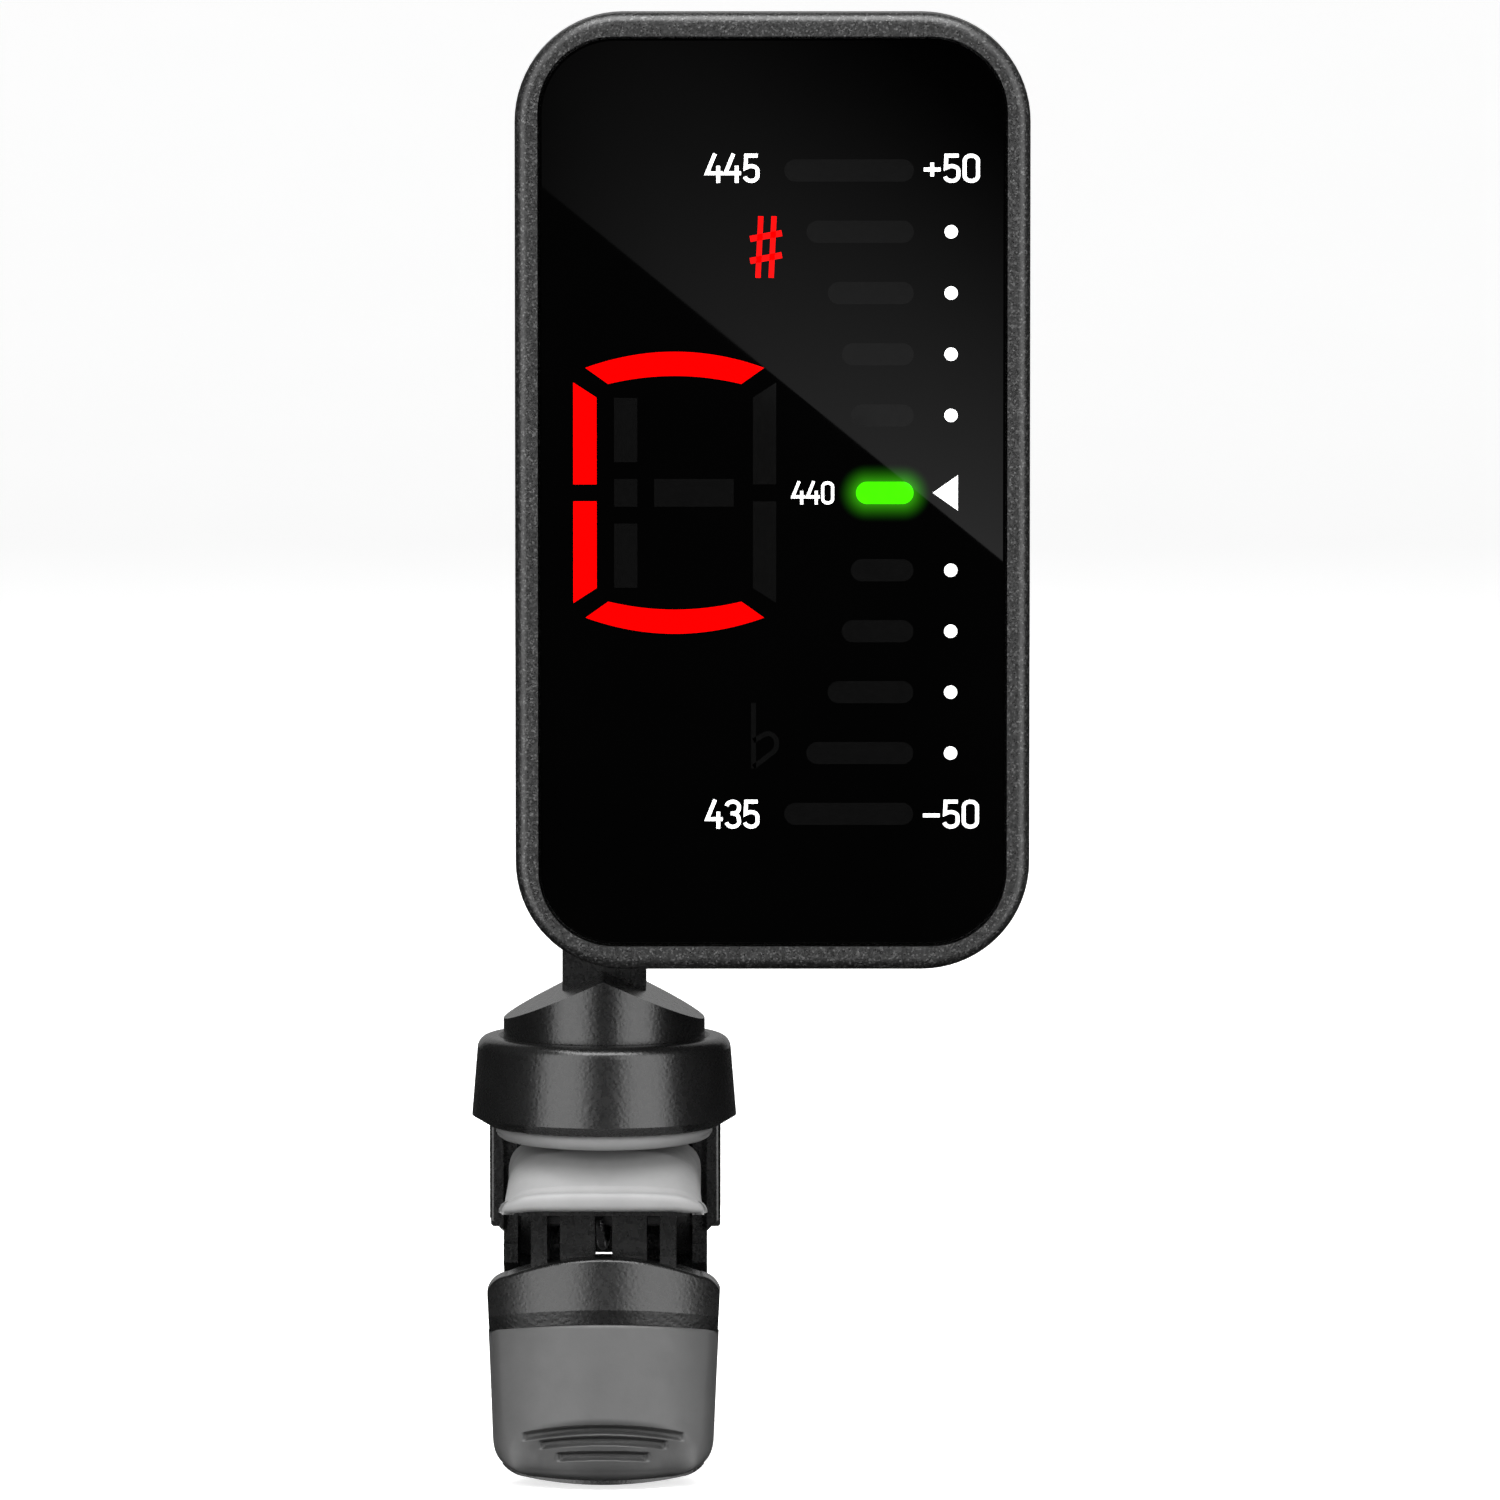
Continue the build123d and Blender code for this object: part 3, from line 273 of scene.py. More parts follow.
# Lever grip: mid grey rubber moulded over the front, sides and end of the lever, with a shallow
# thumb dish that runs out over the lower end and three arched grooves across it. The dish, the
# grooves and the lower end are darkened with painted shade.

lean = math.radians(17)
lever_top, lever_front, lever_bow = -0.0074, -0.0076, 0.0125
grip_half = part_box("jaw_lever")[1].x
grip_low_half = grip_half - 0.00055
grip_start, grip_recess = 0.0045, 0.00045
corner_height, corner_power = 0.0031, 3.3
edge_round, start_round = 0.0008, 0.0003
groove_half, groove_end, groove_depth = 0.00031, 0.0003, 0.00034
end_clearance = 0.00018
lever_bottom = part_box("lever_grip")[0].z + end_clearance


def bow(x):
    """How far the lever's face falls back at x: a circle of the bow's radius seen from above."""
    return lever_bow - np.sqrt(lever_bow ** 2 - x ** 2)


def grip_height(x):
    """World height of the grip's upper edge at x, square across the leaning lever."""
    return lever_top - (bow(x) + grip_recess) * math.sin(lean) - grip_start * math.cos(lean)


def groove(x, z, middle, drop, reach):
    """Depth share of one groove: a round-bottomed channel along an arc that falls by drop at reach."""
    line = middle - drop * (x / reach) ** 2
    ends = np.clip((reach - np.abs(x)) / groove_end, 0, 1)
    return np.clip(1 - ((z - line) / groove_half) ** 2, 0, 1) ** 0.6 * ends


fall = np.concatenate([np.linspace(0, 0.55, 50), np.linspace(0.55, 0.93, 90)[1:],
                       1 - 0.07 * np.linspace(1, 0, 26)[1:] ** 1.6])
centre_z = grip_height(0) + fall * (lever_bottom - grip_height(0))
draw_in = np.clip((-0.010 - centre_z) / 0.0127, 0, 1)
side = grip_half + (grip_low_half - grip_half) * draw_in
near_end = np.clip((lever_bottom + corner_height - centre_z) / corner_height, 0, 1)
side = side * np.clip(1 - near_end ** corner_power, 0, 1) ** (1 / corner_power)
share = np.sin(np.linspace(-1, 1, 141) * math.pi / 2 * 0.98) / math.sin(math.pi / 2 * 0.98)
x = side[:, None] * share[None]
z = centre_z[:, None] + (grip_height(x) - grip_height(0)) * (1 - fall[:, None]) ** 2
from_side = side[:, None] - np.abs(x)
end_share = np.clip(1 - np.abs(x) / grip_low_half, 0, 1)
from_end = (z - lever_bottom - 0.0004 * (1 - end_share) ** 2) / 1.8
from_edge = from_side * from_end / np.sqrt(from_side ** 2 + from_end ** 2 + 1e-12)
from_edge = np.clip(from_edge, 0, edge_round)
rounding = edge_round * (1 - np.sqrt(np.clip(1 - (1 - from_edge / edge_round) ** 2, 0, 1)))
from_start = np.clip((grip_height(x) - z) / start_round, 0, 1)
rounding = rounding + 0.00012 * (1 - np.sqrt(1 - (1 - from_start) ** 2))
dish_half, dish_z, dish_rise = 0.0066, 0.0207, 0.0026
oval = np.abs(x / dish_half) ** 2.2 + np.clip((z + dish_z) / dish_rise, 0, None) ** 2.2
in_dish = np.clip((1 - oval) / 0.6, 0, 1)
in_dish = in_dish ** 2 * (3 - 2 * in_dish)
dish = in_dish * (0.00016 + 0.00045 * np.clip((-0.0182 - z) / 0.0036, 0, 1))
grooves = groove(x, z, -0.0189, 0.00066, 0.0056) + groove(x, z, -0.01966, 0.00042, 0.0044)
grooves = np.clip(grooves + groove(x, z, -0.02067, 0.00016, 0.0032), 0, 1)
depth = bow(x) + grip_recess + rounding + dish + groove_depth * grooves
down = (lever_top - depth * math.sin(lean) - z) / math.cos(lean)
y = lever_front + depth * math.cos(lean) - down * math.sin(lean)
grip_rubber = rubber("grip_rubber", 0.037, 0.044, 0.5)
tree = grip_rubber.node_tree
# painted shade: a point attribute multiplies the base colour down to 0.12 where the grip faces down or lies in a
# groove
painted_shade = tree.nodes.new("ShaderNodeAttribute")
painted_shade.attribute_name = "painted_shade"
darken = tree.nodes.new("ShaderNodeMix")
darken.data_type, darken.blend_type = "RGBA", "MULTIPLY"
darken.inputs["Factor"].default_value = 1.0
shader = tree.nodes["Principled BSDF"]
tree.links.new(shader.inputs["Base Color"].links[0].from_socket, darken.inputs["A"])
tree.links.new(ramp(tree, painted_shade.outputs["Fac"], [(0, 1.0), (1, 0.12)]), darken.inputs["B"])
tree.links.new(darken.outputs["Result"], shader.inputs["Base Color"])
grip = skin("lever_grip_rubber", np.stack([x, y, z], axis=-1)[:, ::-1], "lever", grip_rubber)
# share of painted shade: most in the dish, less in the grooves, and along the lower end below the dish
low_share = np.clip((-0.0215 - z) / 0.0012, 0, 1)
painted_shade_share = np.clip(0.84 * in_dish + 0.25 * grooves + 0.6 * low_share * (1 - in_dish), 0, 1)
values = grip.data.attributes.new("painted_shade", "FLOAT", "POINT")
values.data.foreach_set("value", painted_shade_share[:, ::-1].reshape(-1))
wall = grip.modifiers.new("wall", "SOLIDIFY")
wall.thickness = 0.0007
wall.offset = -1
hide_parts("lever_grip")

# ================================= display head =================================
# Front bezel: moulded ring in graphite paint with fine metal flake over a slight grain.


def flake_paint(name, base, flake, scale):
    """Dark paint in which a share of tiny cells are bright flakes, each with its own tilt."""
    material, tree, shader, link = new_material(name)
    flakes = tree.nodes.new("ShaderNodeSeparateColor")
    link(cells(tree, scale).outputs["Color"], flakes.inputs["Color"])
    link(ramp(tree, flakes.outputs["Red"], [(0, base), (0.55, base), (0.85, 0.4 * flake), (1, flake)]),
         shader.inputs["Base Color"])
    link(ramp(tree, flakes.outputs["Green"], [(0, 0.26), (1, 0.44)]), shader.inputs["Roughness"])
    shader.inputs["Metallic"].default_value = 0.2
    bump(tree, shader, (flakes.outputs["Blue"], 0.25, 0.00003), (noise(tree, 3000, 3), 0.3, 0.00003))
    return material


nodes["front_bezel"].material_slots[0].material = flake_paint("graphite_flake", 0.010, 0.075, 9000)

# Rear cover, battery cap and buttons: black plastic a shade duller than the clip, with the buttons
# a little lighter so that a thumb finds them.

cover_plastic = grained_plastic("cover_plastic", 0.009, 0.014, 0.42, 2600, 0.00005)
for name in ("rear_cover", "battery_cap"):
    nodes[name].material_slots[0].material = cover_plastic
button_plastic = grained_plastic("button_plastic", 0.03, 0.04, 0.5, 4200, 0.00003)
for name in ("power_button", "pitch_button"):
    nodes[name].material_slots[0].material = button_plastic

# Window: a plate of smoked acrylic, polished, black from outside, laid into the bezel on tape.
# Plate and print mirror less than clear acrylic, so that a light doesn't hide the display.

ink_specular = 0.25


def smoked_acrylic(name):
    """Polished black acrylic: almost no body colour, a drift in polish and faint handling haze."""
    material, tree, shader, link = new_material(name)
    link(ramp(tree, noise(tree, 60), [(0.3, 0.0002), (0.7, 0.0004)]), shader.inputs["Base Color"])
    link(ramp(tree, noise(tree, 140, 5), [(0.35, 0.004), (0.8, 0.012)]), shader.inputs["Roughness"])
    shader.inputs["IOR"].default_value = 1.49
    shader.inputs["Specular IOR Level"].default_value = ink_specular
    return material, tree, shader, link


acrylic = smoked_acrylic("smoked_acrylic")[0]
nodes["display_window"].material_slots[0].material = acrylic

# Light openings and white print on the window: the black ink on its face leaves clear openings
# over the diffusers, and the scale numerals, dots and pointer are printed in white.

low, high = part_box("display_window")
head_x, head_z, face_y = (low.x + high.x) / 2, (low.z + high.z) / 2, low.y
ink, lit_ink, halo_ink = 0.00003, 0.00004, 0.000015


def printed(name, patches, level, material):
    """Flat print on the window from patches, each a grid (rows, columns, 2) of x and z from the
    middle of the head. Every cell of a grid is a quad facing the front, level proud of the face."""
    places, faces, count = [], [], 0
    for patch in patches:
        rows, columns = patch.shape[:2]
        index = np.arange(rows * columns).reshape(rows, columns)
        quads = np.stack([index[:-1, :-1], index[:-1, 1:], index[1:, 1:], index[1:, :-1]], axis=-1).reshape(-1, 4)
        flat = patch.reshape(-1, 2)
        first = flat[quads[:, 1]] - flat[quads[:, 0]]
        second = flat[quads[:, 3]] - flat[quads[:, 0]]
        turned = (first[:, 0] * second[:, 1] - first[:, 1] * second[:, 0]).sum() < 0
        faces += ((quads[:, ::-1] if turned else quads) + count).tolist()
        places.append(np.stack([head_x + flat[:, 0], np.full(len(flat), face_y - level), head_z + flat[:, 1]],
                               axis=-1))
        count += rows * columns
    mesh = bpy.data.meshes.new(name)
    mesh.from_pydata(np.concatenate(places).tolist(), [], faces)
    mesh.materials.append(material)
    piece = bpy.data.objects.new(name, mesh)
    bpy.context.scene.collection.objects.link(piece)
    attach(piece, "head")
    return piece


def between(first, second):
    """A patch one cell wide between two lines of as many points."""
    return np.stack([first, second])


def pill(x, z, length, thick, steps=12):
    """A bar with round ends: its upper and lower outlines, closed at the ends."""
    turn = np.linspace(math.pi, math.pi / 2, steps)
    left = np.stack([np.cos(turn), np.sin(turn)], axis=-1) * thick / 2
    upper = np.concatenate([left + (thick / 2 - length, 0), left[::-1] * (-1, 1) - (thick / 2, 0)])
    return between(upper + (x, z), upper * (1, -1) + (x, z))


def lamp(name, colour, glow):
    """Lit ink: the diffuser's light through the smoked opening, its brightness drifting a little across it."""
    material, tree, shader, link = new_material(name)
    dim = tuple(0.9 * part for part in colour)
    link(ramp(tree, noise(tree, 300, 2), [(0.3, dim), (0.7, colour)]), shader.inputs["Emission Color"])
    shader.inputs["Emission Strength"].default_value = glow
    ink_dark, ink_light = (tuple(share * part for part in colour) for share in (0.2, 0.3))
    link(ramp(tree, noise(tree, 900, 3), [(0.3, ink_dark), (0.7, ink_light)]), shader.inputs["Base Color"])
    link(ramp(tree, noise(tree, 140, 5), [(0.35, 0.01), (0.8, 0.02)]), shader.inputs["Roughness"])
    shader.inputs["Specular IOR Level"].default_value = ink_specular
    return material


def plain_ink(name, dark, light, roughness):
    """Screen ink: a slight drift in density from the mesh, on a satin surface."""
    material, tree, shader, link = new_material(name)
    link(ramp(tree, noise(tree, 2500, 4), [(0.3, dark), (0.7, light)]), shader.inputs["Base Color"])
    link(ramp(tree, noise(tree, 1500, 3), [(0.3, roughness), (0.7, 1.3 * roughness)]), shader.inputs["Roughness"])
    shader.inputs["Specular IOR Level"].default_value = ink_specular
    return material


red_lamp = lamp("red_lamp", (1.0, 0.0, 0.0), 1.0)
green_lamp = lamp("green_lamp", (0.052, 1.0, 0.001), 1.0)
unlit_ink = plain_ink("unlit_ink", 0.0022, 0.0028, 0.03)
white_ink = plain_ink("white_ink", 0.80, 0.86, 0.4)
# painted light: the white print glows a little, though nothing lights it
shader = white_ink.node_tree.nodes["Principled BSDF"]
shader.inputs["Emission Color"].default_value = (1, 1, 1, 1)
shader.inputs["Emission Strength"].default_value = 0.4

# cents scale: eleven pills with their right ends in line, the middle one lit green
scale_right, bar_thick = 0.00963, 0.00152
row_first, row_step = 0.00530, 0.00418
bar_lengths = (0.00428, 0.00490, 0.00586, 0.00731, 0.00883)
dark_bars = [pill(scale_right, side * (row_first + row * row_step), length, bar_thick)
             for row, length in enumerate(bar_lengths) for side in (1, -1)]
printed("scale_openings", dark_bars, ink, unlit_ink)
centre_length = 0.00393
printed("centre_opening_lit", [pill(scale_right, 0, centre_length, bar_thick)], lit_ink, green_lamp)


def halo_patch():
    """Rings around the lit pill: outlines moved out step by step, with how near each ring is."""
    spread = np.linspace(0, 0.0013, 14)
    outlines = []
    for grow in spread:
        patch = pill(scale_right + grow, 0, centre_length + 2 * grow, bar_thick + 2 * grow)
        outlines.append(np.concatenate([patch[0], patch[1][::-1]]))
    return np.stack(outlines), (1 - spread / spread[-1]) ** 2.2


rings, nearness = halo_patch()
material, tree, shader, link = smoked_acrylic("acrylic_in_glow")
near = tree.nodes.new("ShaderNodeAttribute")
near.attribute_name = "nearness"
link(ramp(tree, near.outputs["Fac"], [(0, (0, 0, 0)), (1, (0.03, 0.30, 0.004))]), shader.inputs["Emission Color"])
shader.inputs["Emission Strength"].default_value = 1.0
halo = printed("centre_opening_glow", [rings], halo_ink, material)
values = halo.data.attributes.new("nearness", "FLOAT", "POINT")
values.data.foreach_set("value", np.repeat(nearness, rings.shape[1]))

# note letter: four arcs and bars lit red, the rest dark
note_x, note_half, bar_wide = -0.00668, 0.00693, 0.00159
bar_top, bar_slant, bar_gap = 0.00755, 0.00103, 0.00058
arc_outer, arc_rise, arc_thick = 0.00855, 0.00110, 0.00165
arc_half, arc_inner_half = 0.00610, 0.00455


def note_bar(side, end):
    """An upright bar of the letter with its outer end cut on a slant."""
    outer, inner = side * note_half, side * (note_half - bar_wide)
    return between(np.array([(note_x + outer, end * bar_gap), (note_x + outer, end * bar_top)]),
                   np.array([(note_x + inner, end * bar_gap), (note_x + inner, end * (bar_top - bar_slant))]))


def note_arc(end):
    """A crowned bar across the top or bottom of the letter: two parabolas with slanted ends."""
    share = np.linspace(-1, 1, 25)
    outer = arc_outer + arc_rise * (1 - share ** 2)
    low_end = arc_outer - arc_rise
    inner = low_end + (arc_outer + arc_rise - arc_thick - low_end) * (1 - share ** 2)
    return between(np.stack([note_x + arc_half * share, end * outer], axis=-1),
                   np.stack([note_x + arc_inner_half * share, end * inner], axis=-1))


def box_patch(x, z, wide, tall):
    """A plain rectangle around a middle point."""
    return between(np.array([(x - wide / 2, z + tall / 2), (x + wide / 2, z + tall / 2)]),
                   np.array([(x - wide / 2, z - tall / 2), (x + wide / 2, z - tall / 2)]))


printed("note_openings_lit", [note_bar(-1, 1), note_bar(-1, -1), note_arc(1), note_arc(-1)], lit_ink, red_lamp)
inner_bars = [box_patch(note_x - 0.00335, z, bar_wide, tall)
              for z, tall in ((0.0043, 0.0044), (0, 0.0019), (-0.0043, 0.0044))]
printed("note_openings_dark", [note_bar(1, 1), note_bar(1, -1), box_patch(note_x + 0.00131, 0, 0.00544, 0.0019),
                               *inner_bars], ink, unlit_ink)


def ribbon(line, wide, closed=False):
    """A band of even width along a line of points: each point moves out to both sides by half the
    width along the mitre of its two runs."""
    line = np.asarray(line, float)
    before = np.roll(line, 1, axis=0) if closed else np.concatenate([2 * line[:1] - line[1:2], line[:-1]])
    after = np.roll(line, -1, axis=0) if closed else np.concatenate([line[1:], 2 * line[-1:] - line[-2:-1]])
    first = (line - before) / np.linalg.norm(line - before, axis=1, keepdims=True)
    second = (after - line) / np.linalg.norm(after - line, axis=1, keepdims=True)
    mitre = np.stack([-(first + second)[:, 1], (first + second)[:, 0]], axis=-1)
    mitre /= np.linalg.norm(mitre, axis=1, keepdims=True)
    spread = wide / 2 / np.clip((mitre * np.stack([-first[:, 1], first[:, 0]], axis=-1)).sum(1), 0.35, None)
    patch = between(line + mitre * spread[:, None], line - mitre * spread[:, None])
    return np.concatenate([patch, patch[:, :1]], axis=1) if closed else patch


def arc(x, z, wide, tall, start, stop, steps=12):
    """Points on an ellipse from one angle to another, in degrees."""
    turn = np.radians(np.linspace(start, stop, steps))
    return np.stack([x + wide * np.cos(turn), z + tall * np.sin(turn)], axis=-1)


# sharp lit above, flat dark below
sign_x, sign_z = -0.00045, 0.0168
sharp = [ribbon([(sign_x + x - 0.0001, sign_z - 0.0021), (sign_x + x + 0.0001, sign_z + 0.0021)], 0.00036)
         for x in (-0.00045, 0.00045)]
sharp += [ribbon([(sign_x - 0.00108, sign_z + z - 0.0002), (sign_x + 0.00108, sign_z + z + 0.0002)], 0.00042)
          for z in (-0.00075, 0.00075)]
printed("sharp_opening_lit", sharp, lit_ink, red_lamp)
flat_x, flat_z = sign_x - 0.00085, -0.0168
flat = [ribbon([(flat_x, flat_z - 0.0021), (flat_x, flat_z + 0.0024)], 0.00034),
        ribbon(np.concatenate([[(flat_x, flat_z - 0.0002)],
                               arc(flat_x + 0.0010, flat_z - 0.0004, 0.0006, 0.0007, 120, -60),
                               [(flat_x, flat_z - 0.0020)]]), 0.00034)]
printed("flat_opening_dark", flat, ink, unlit_ink)

# numerals: strokes of even width in a box one unit wide and 1.9 tall, their middle lines inset
glyph_tall, glyph_wide = 1.62, 0.70
bowl, stroke = 0.33, 0.245
glyphs = {
    "0": [(np.concatenate([arc(0, glyph_tall / 2 - bowl, glyph_wide / 2, bowl, 0, 180),
                           arc(0, bowl - glyph_tall / 2, glyph_wide / 2, bowl, 180, 360)]), True)],
    "3": [(np.concatenate([arc(0, glyph_tall / 2 - bowl, glyph_wide / 2, bowl, 170, 0),
                           arc(0, 0.05 + bowl, glyph_wide / 2, bowl, -20, -90, 6), [(-0.12, 0.05)]]), False),
          (np.concatenate([[(-0.12, 0.05)], arc(-0.02, 0.05 - bowl, glyph_wide / 2, bowl, 90, 10, 6),
                           arc(0, bowl - glyph_tall / 2, glyph_wide / 2, bowl, 0, -170)]), False)],
    "4": [([(0.04, glyph_tall / 2 + 0.12), (-0.40, -0.32), (0.46, -0.32)], False),
          ([(0.22, 0.16), (0.22, -glyph_tall / 2 - 0.12)], False)],
    "5": [(np.concatenate([[(0.36, glyph_tall / 2), (-0.28, glyph_tall / 2), (-0.31, 0.02)],
                           arc(0.0, -0.16, glyph_wide / 2, 0.30, 135, 0, 10),
                           arc(0, bowl - glyph_tall / 2, glyph_wide / 2, bowl, 0, -170)]), False)],
    "+": [([(-0.44, -0.08), (0.44, -0.08)], False), ([(0, 0.36), (0, -0.52)], False)],
    "-": [([(-0.44, -0.08), (0.44, -0.08)], False)],
}


def numerals(text, x, z, tall, wide):
    """Patches for a row of numerals: each glyph's strokes as ribbons, scaled to the row's height."""
    size = tall / (glyph_tall + 0.26)
    pitch = wide / len(text)
    patches = []
    for place, letter in enumerate(text):
        middle = x + (place - (len(text) - 1) / 2) * pitch
        for line, closed in glyphs[letter]:
            patches.append(ribbon(np.asarray(line) * (pitch * 0.98, size) + (middle, z), stroke * size, closed))
    return patches


print_rows = [("445", -0.00272, 0.02217, 0.0020, 0.00378), ("435", -0.00272, -0.02204, 0.0020, 0.00378),
              ("+50", 0.01221, 0.02217, 0.0020, 0.00400), ("-50", 0.01221, -0.02204, 0.0020, 0.00400),
              ("440", 0.00277, 0.0, 0.00160, 0.00298)]
printed("scale_numerals", [patch for row in print_rows for patch in numerals(*row)], ink, white_ink)
dot_x, dot = 0.01218, 0.00091
dots = [pill(dot_x + dot / 2, side * (row_first + row * row_step), dot, dot)
        for row in range(4) for side in (1, -1)]
printed("scale_dots", dots, ink, white_ink)
printed("scale_pointer", [between(np.array([(0.01094, 0), (0.01266, 0.00121)]),
                                  np.array([(0.01094, 0), (0.01266, -0.00121)]))], ink, white_ink)

# Inside the head: board with solder mask over copper, chip in black epoxy, brass disc, nickel
# contacts, steel cell can, clear lamps, smoked diffusers in a black light block, natural holder.

contact = plated_steel("nickel_contact", (0.72, 0.71, 0.68), 0.22, (4000, 4000, 400))
for name in ("positive_contact", "negative_contact", "button_switches"):
    nodes[name].material_slots[0].material = contact
cell_can = plated_steel("cell_can", (0.74, 0.74, 0.75), 0.25, (900, 900, 5000))
nodes["coin_cell"].material_slots[0].material = cell_can
brass_disc = plated_steel("brass_disc", (0.72, 0.53, 0.20), 0.3, (5000, 500, 500))
nodes["piezo_pickup"].material_slots[0].material = brass_disc


def board_mask(name):
    """Green solder mask over copper: straight tracks show as lighter, slightly raised lines."""
    material, tree, shader, link = new_material(name)
    tracks = tree.nodes.new("ShaderNodeTexBrick")
    tracks.inputs["Scale"].default_value = 1.0
    tracks.inputs["Mortar Size"].default_value = 0.08
    link(object_point(tree, (700, 700, 450)), tracks.inputs["Vector"])
    link(ramp(tree, tracks.outputs["Fac"], [(0, (0.010, 0.085, 0.035)), (1, (0.02, 0.15, 0.06))]),
         shader.inputs["Base Color"])
    link(ramp(tree, noise(tree, 600, 3), [(0.3, 0.25), (0.7, 0.38)]), shader.inputs["Roughness"])
    bump(tree, shader, (tracks.outputs["Fac"], 0.4, 0.00003))
    return material


nodes["circuit_board"].material_slots[0].material = board_mask("solder_mask")
moulded = {"tuner_chip": ("chip_epoxy", 0.015, 0.022, 0.5), "light_guide": ("guide_black", 0.008, 0.012, 0.55),
           "note_segments": ("smoked_diffuser", 0.04, 0.05, 0.3),
           "tuning_bars": ("smoked_diffuser_bars", 0.04, 0.05, 0.3),
           "accidental_signs": ("smoked_diffuser_signs", 0.04, 0.05, 0.3),
           "display_leds": ("lamp_resin", 0.70, 0.78, 0.2), "battery_holder": ("holder_nylon", 0.62, 0.70, 0.45)}
for name, (label, dark, light, rough) in moulded.items():
    nodes[name].material_slots[0].material = grained_plastic(label, dark, light, rough, 3000, 0.00002)

# ================================= camera, lights and floor =================================
# A long lens a little above the object, two tall softboxes left and right in front, one overhead
# and a weak one behind.

elevation = math.radians(5)
distance = 0.9
frame_wide = 0.10345
aim = np.array((0.01012, -0.004, 0.02748))
camera_data = bpy.data.cameras.new("camera")
camera = bpy.data.objects.new("camera", camera_data)
bpy.context.scene.collection.objects.link(camera)
camera.location = aim + distance * np.array((0, -math.cos(elevation), math.sin(elevation)))
camera.rotation_euler = (math.pi / 2 - elevation, 0, 0)
camera_data.sensor_width = 36
camera_data.lens = 36 * distance / frame_wide
camera_data.clip_end = 20
bpy.context.scene.camera = camera
bpy.context.scene.view_settings.view_transform = "Standard"


def softbox(name, place, target, wide, tall, power):
    """A rectangular softbox at place, turned to face target and hidden from the camera itself."""
    data = bpy.data.lights.new(name, "AREA")
    data.shape = "RECTANGLE"
    data.size, data.size_y = wide, tall
    data.energy = power
    light = bpy.data.objects.new(name, data)
    bpy.context.scene.collection.objects.link(light)
    light.location = place
    light.rotation_euler = (mathutils.Vector(target) - mathutils.Vector(place)).to_track_quat("-Z", "Y").to_euler()
    light.visible_camera = False
    return light


softbox("softbox_left", (-0.36, -0.49, 0.08), (0, 0, 0.02), 0.48, 0.8, 4.6)
softbox("softbox_right", (0.38, -0.49, 0.08), (0.01, 0, 0.02), 0.48, 0.8, 4.6)
softbox("softbox_top", (0.0, -0.24, 0.60), (0, 0, 0.02), 0.6, 0.5, 9.5)
softbox("softbox_back", (0.0, 0.62, 0.25), (0, 0, 0.02), 0.7, 0.6, 0.6)

# Backdrop: one sheet of white paper, flat under the object and swept up behind it. It glows a
# little so that it stays white, and neither lights nor shows in the object.
floor_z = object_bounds()[0].z - 0.0004
run = np.linspace(0, math.pi / 2, 24)
sweep, sweep_start, steps = 0.7, 0.9, 12
paper_y = np.concatenate([np.linspace(-1.2, sweep_start, steps), sweep_start + sweep * np.sin(run)[1:],
                          np.full(6, sweep_start + sweep)])
paper_z = np.concatenate([np.zeros(steps), sweep - sweep * np.cos(run)[1:], np.linspace(0.85, 3.0, 6)]) + floor_z
paper_x = np.linspace(-2.6, 2.6, steps)


def staged_sheet(name, points):
    """A stage object from a grid of points (rows, columns, 3), each cell a quad."""
    index = np.arange(points.shape[0] * points.shape[1]).reshape(points.shape[:2])
    quads = np.stack([index[:-1, :-1], index[:-1, 1:], index[1:, 1:], index[1:, :-1]], axis=-1).reshape(-1, 4)
    mesh = bpy.data.meshes.new(name)
    mesh.from_pydata(points.reshape(-1, 3).tolist(), [], quads.tolist())
    sheet = bpy.data.objects.new(name, mesh)
    bpy.context.scene.collection.objects.link(sheet)
    return sheet


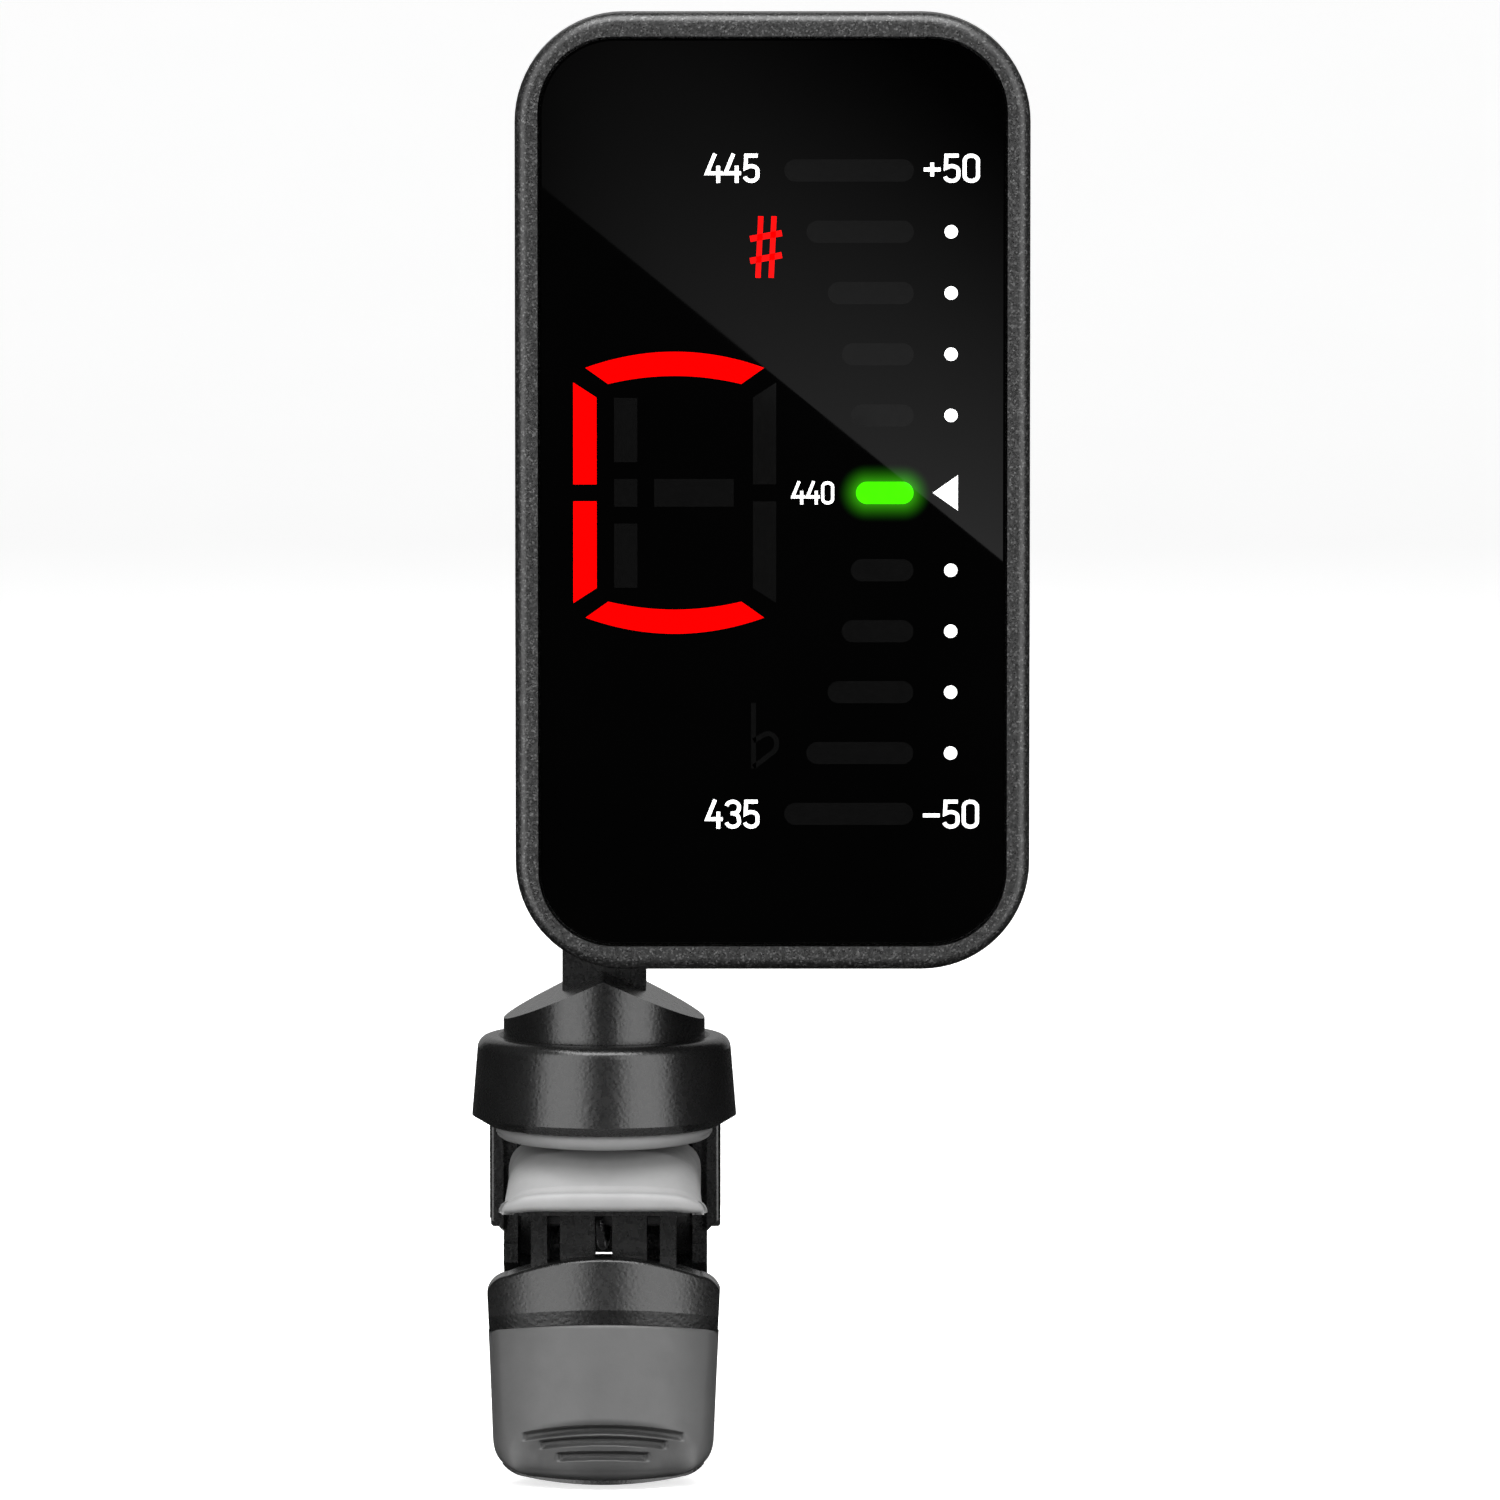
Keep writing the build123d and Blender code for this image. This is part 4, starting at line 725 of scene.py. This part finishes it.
backdrop = staged_sheet("backdrop", np.stack([np.tile(paper_x[None], (len(paper_y), 1)),
                                              np.tile(paper_y[:, None], (1, steps)),
                                              np.tile(paper_z[:, None], (1, steps))], axis=-1))
backdrop.data.shade_smooth()
material, tree, shader, link = new_material("backdrop_paper")
link(ramp(tree, noise(tree, 40, 3), [(0.3, 0.88), (0.7, 0.9)]), shader.inputs["Base Color"])
shader.inputs["Roughness"].default_value = 0.9
shader.inputs["Emission Color"].default_value = (1, 1, 1, 1)
shader.inputs["Emission Strength"].default_value = 0.7
backdrop.data.materials.append(material)
backdrop.visible_glossy = False
backdrop.visible_diffuse = False

# Gloss card: a luminous panel in front of the object whose slanted lower edge is mirrored across
# the window. It is laid out on the window and carried back along the mirrored sight lines, and it
# fades upwards and to the left.
card_y, card_fade = -1.6, 0.031
line_points = np.array([(-0.00416, 0.06673), (0.02757, 0.04091)])
slope = (line_points[1] - line_points[0]) / (line_points[1] - line_points[0])[0]
start = line_points[0] - slope * 0.012
share = np.linspace(0, 0.056, 30)
lift = np.linspace(0, 0.055, 20)[:, None]
window_x = np.tile(start[0] + share[None], (len(lift), 1))
window_z = start[1] + slope[1] * share[None] + lift
eye = np.array(camera.location)
ray_x, ray_y, ray_z = window_x - eye[0], face_y - eye[1], window_z - eye[2]
step = (face_y - card_y) / ray_y
card = np.stack([window_x + ray_x * step, np.full_like(window_x, card_y), window_z + ray_z * step], axis=-1)
shine = np.clip(0.12 + 0.88 * (window_x + 0.004) / card_fade, 0, 1) * np.clip(1 - lift / card_fade, 0, 1) ** 1.5
gloss = staged_sheet("gloss_card", card)
values = gloss.data.attributes.new("shine", "FLOAT", "POINT")
values.data.foreach_set("value", shine.reshape(-1))
material, tree, shader, link = new_material("gloss_card_light")
shader.inputs["Base Color"].default_value = (0, 0, 0, 1)
panel = tree.nodes.new("ShaderNodeAttribute")
panel.attribute_name = "shine"
link(ramp(tree, panel.outputs["Fac"], [(0, 0.0), (1, 1.0)]), shader.inputs["Emission Color"])
shader.inputs["Emission Strength"].default_value = 1.2
gloss.data.materials.append(material)
gloss.visible_camera = False
gloss.visible_shadow = False

world = bpy.data.worlds.new("room")
bpy.context.scene.world = world
world.use_nodes = True
world.node_tree.nodes["Background"].inputs["Color"].default_value = (0.025, 0.025, 0.025, 1)
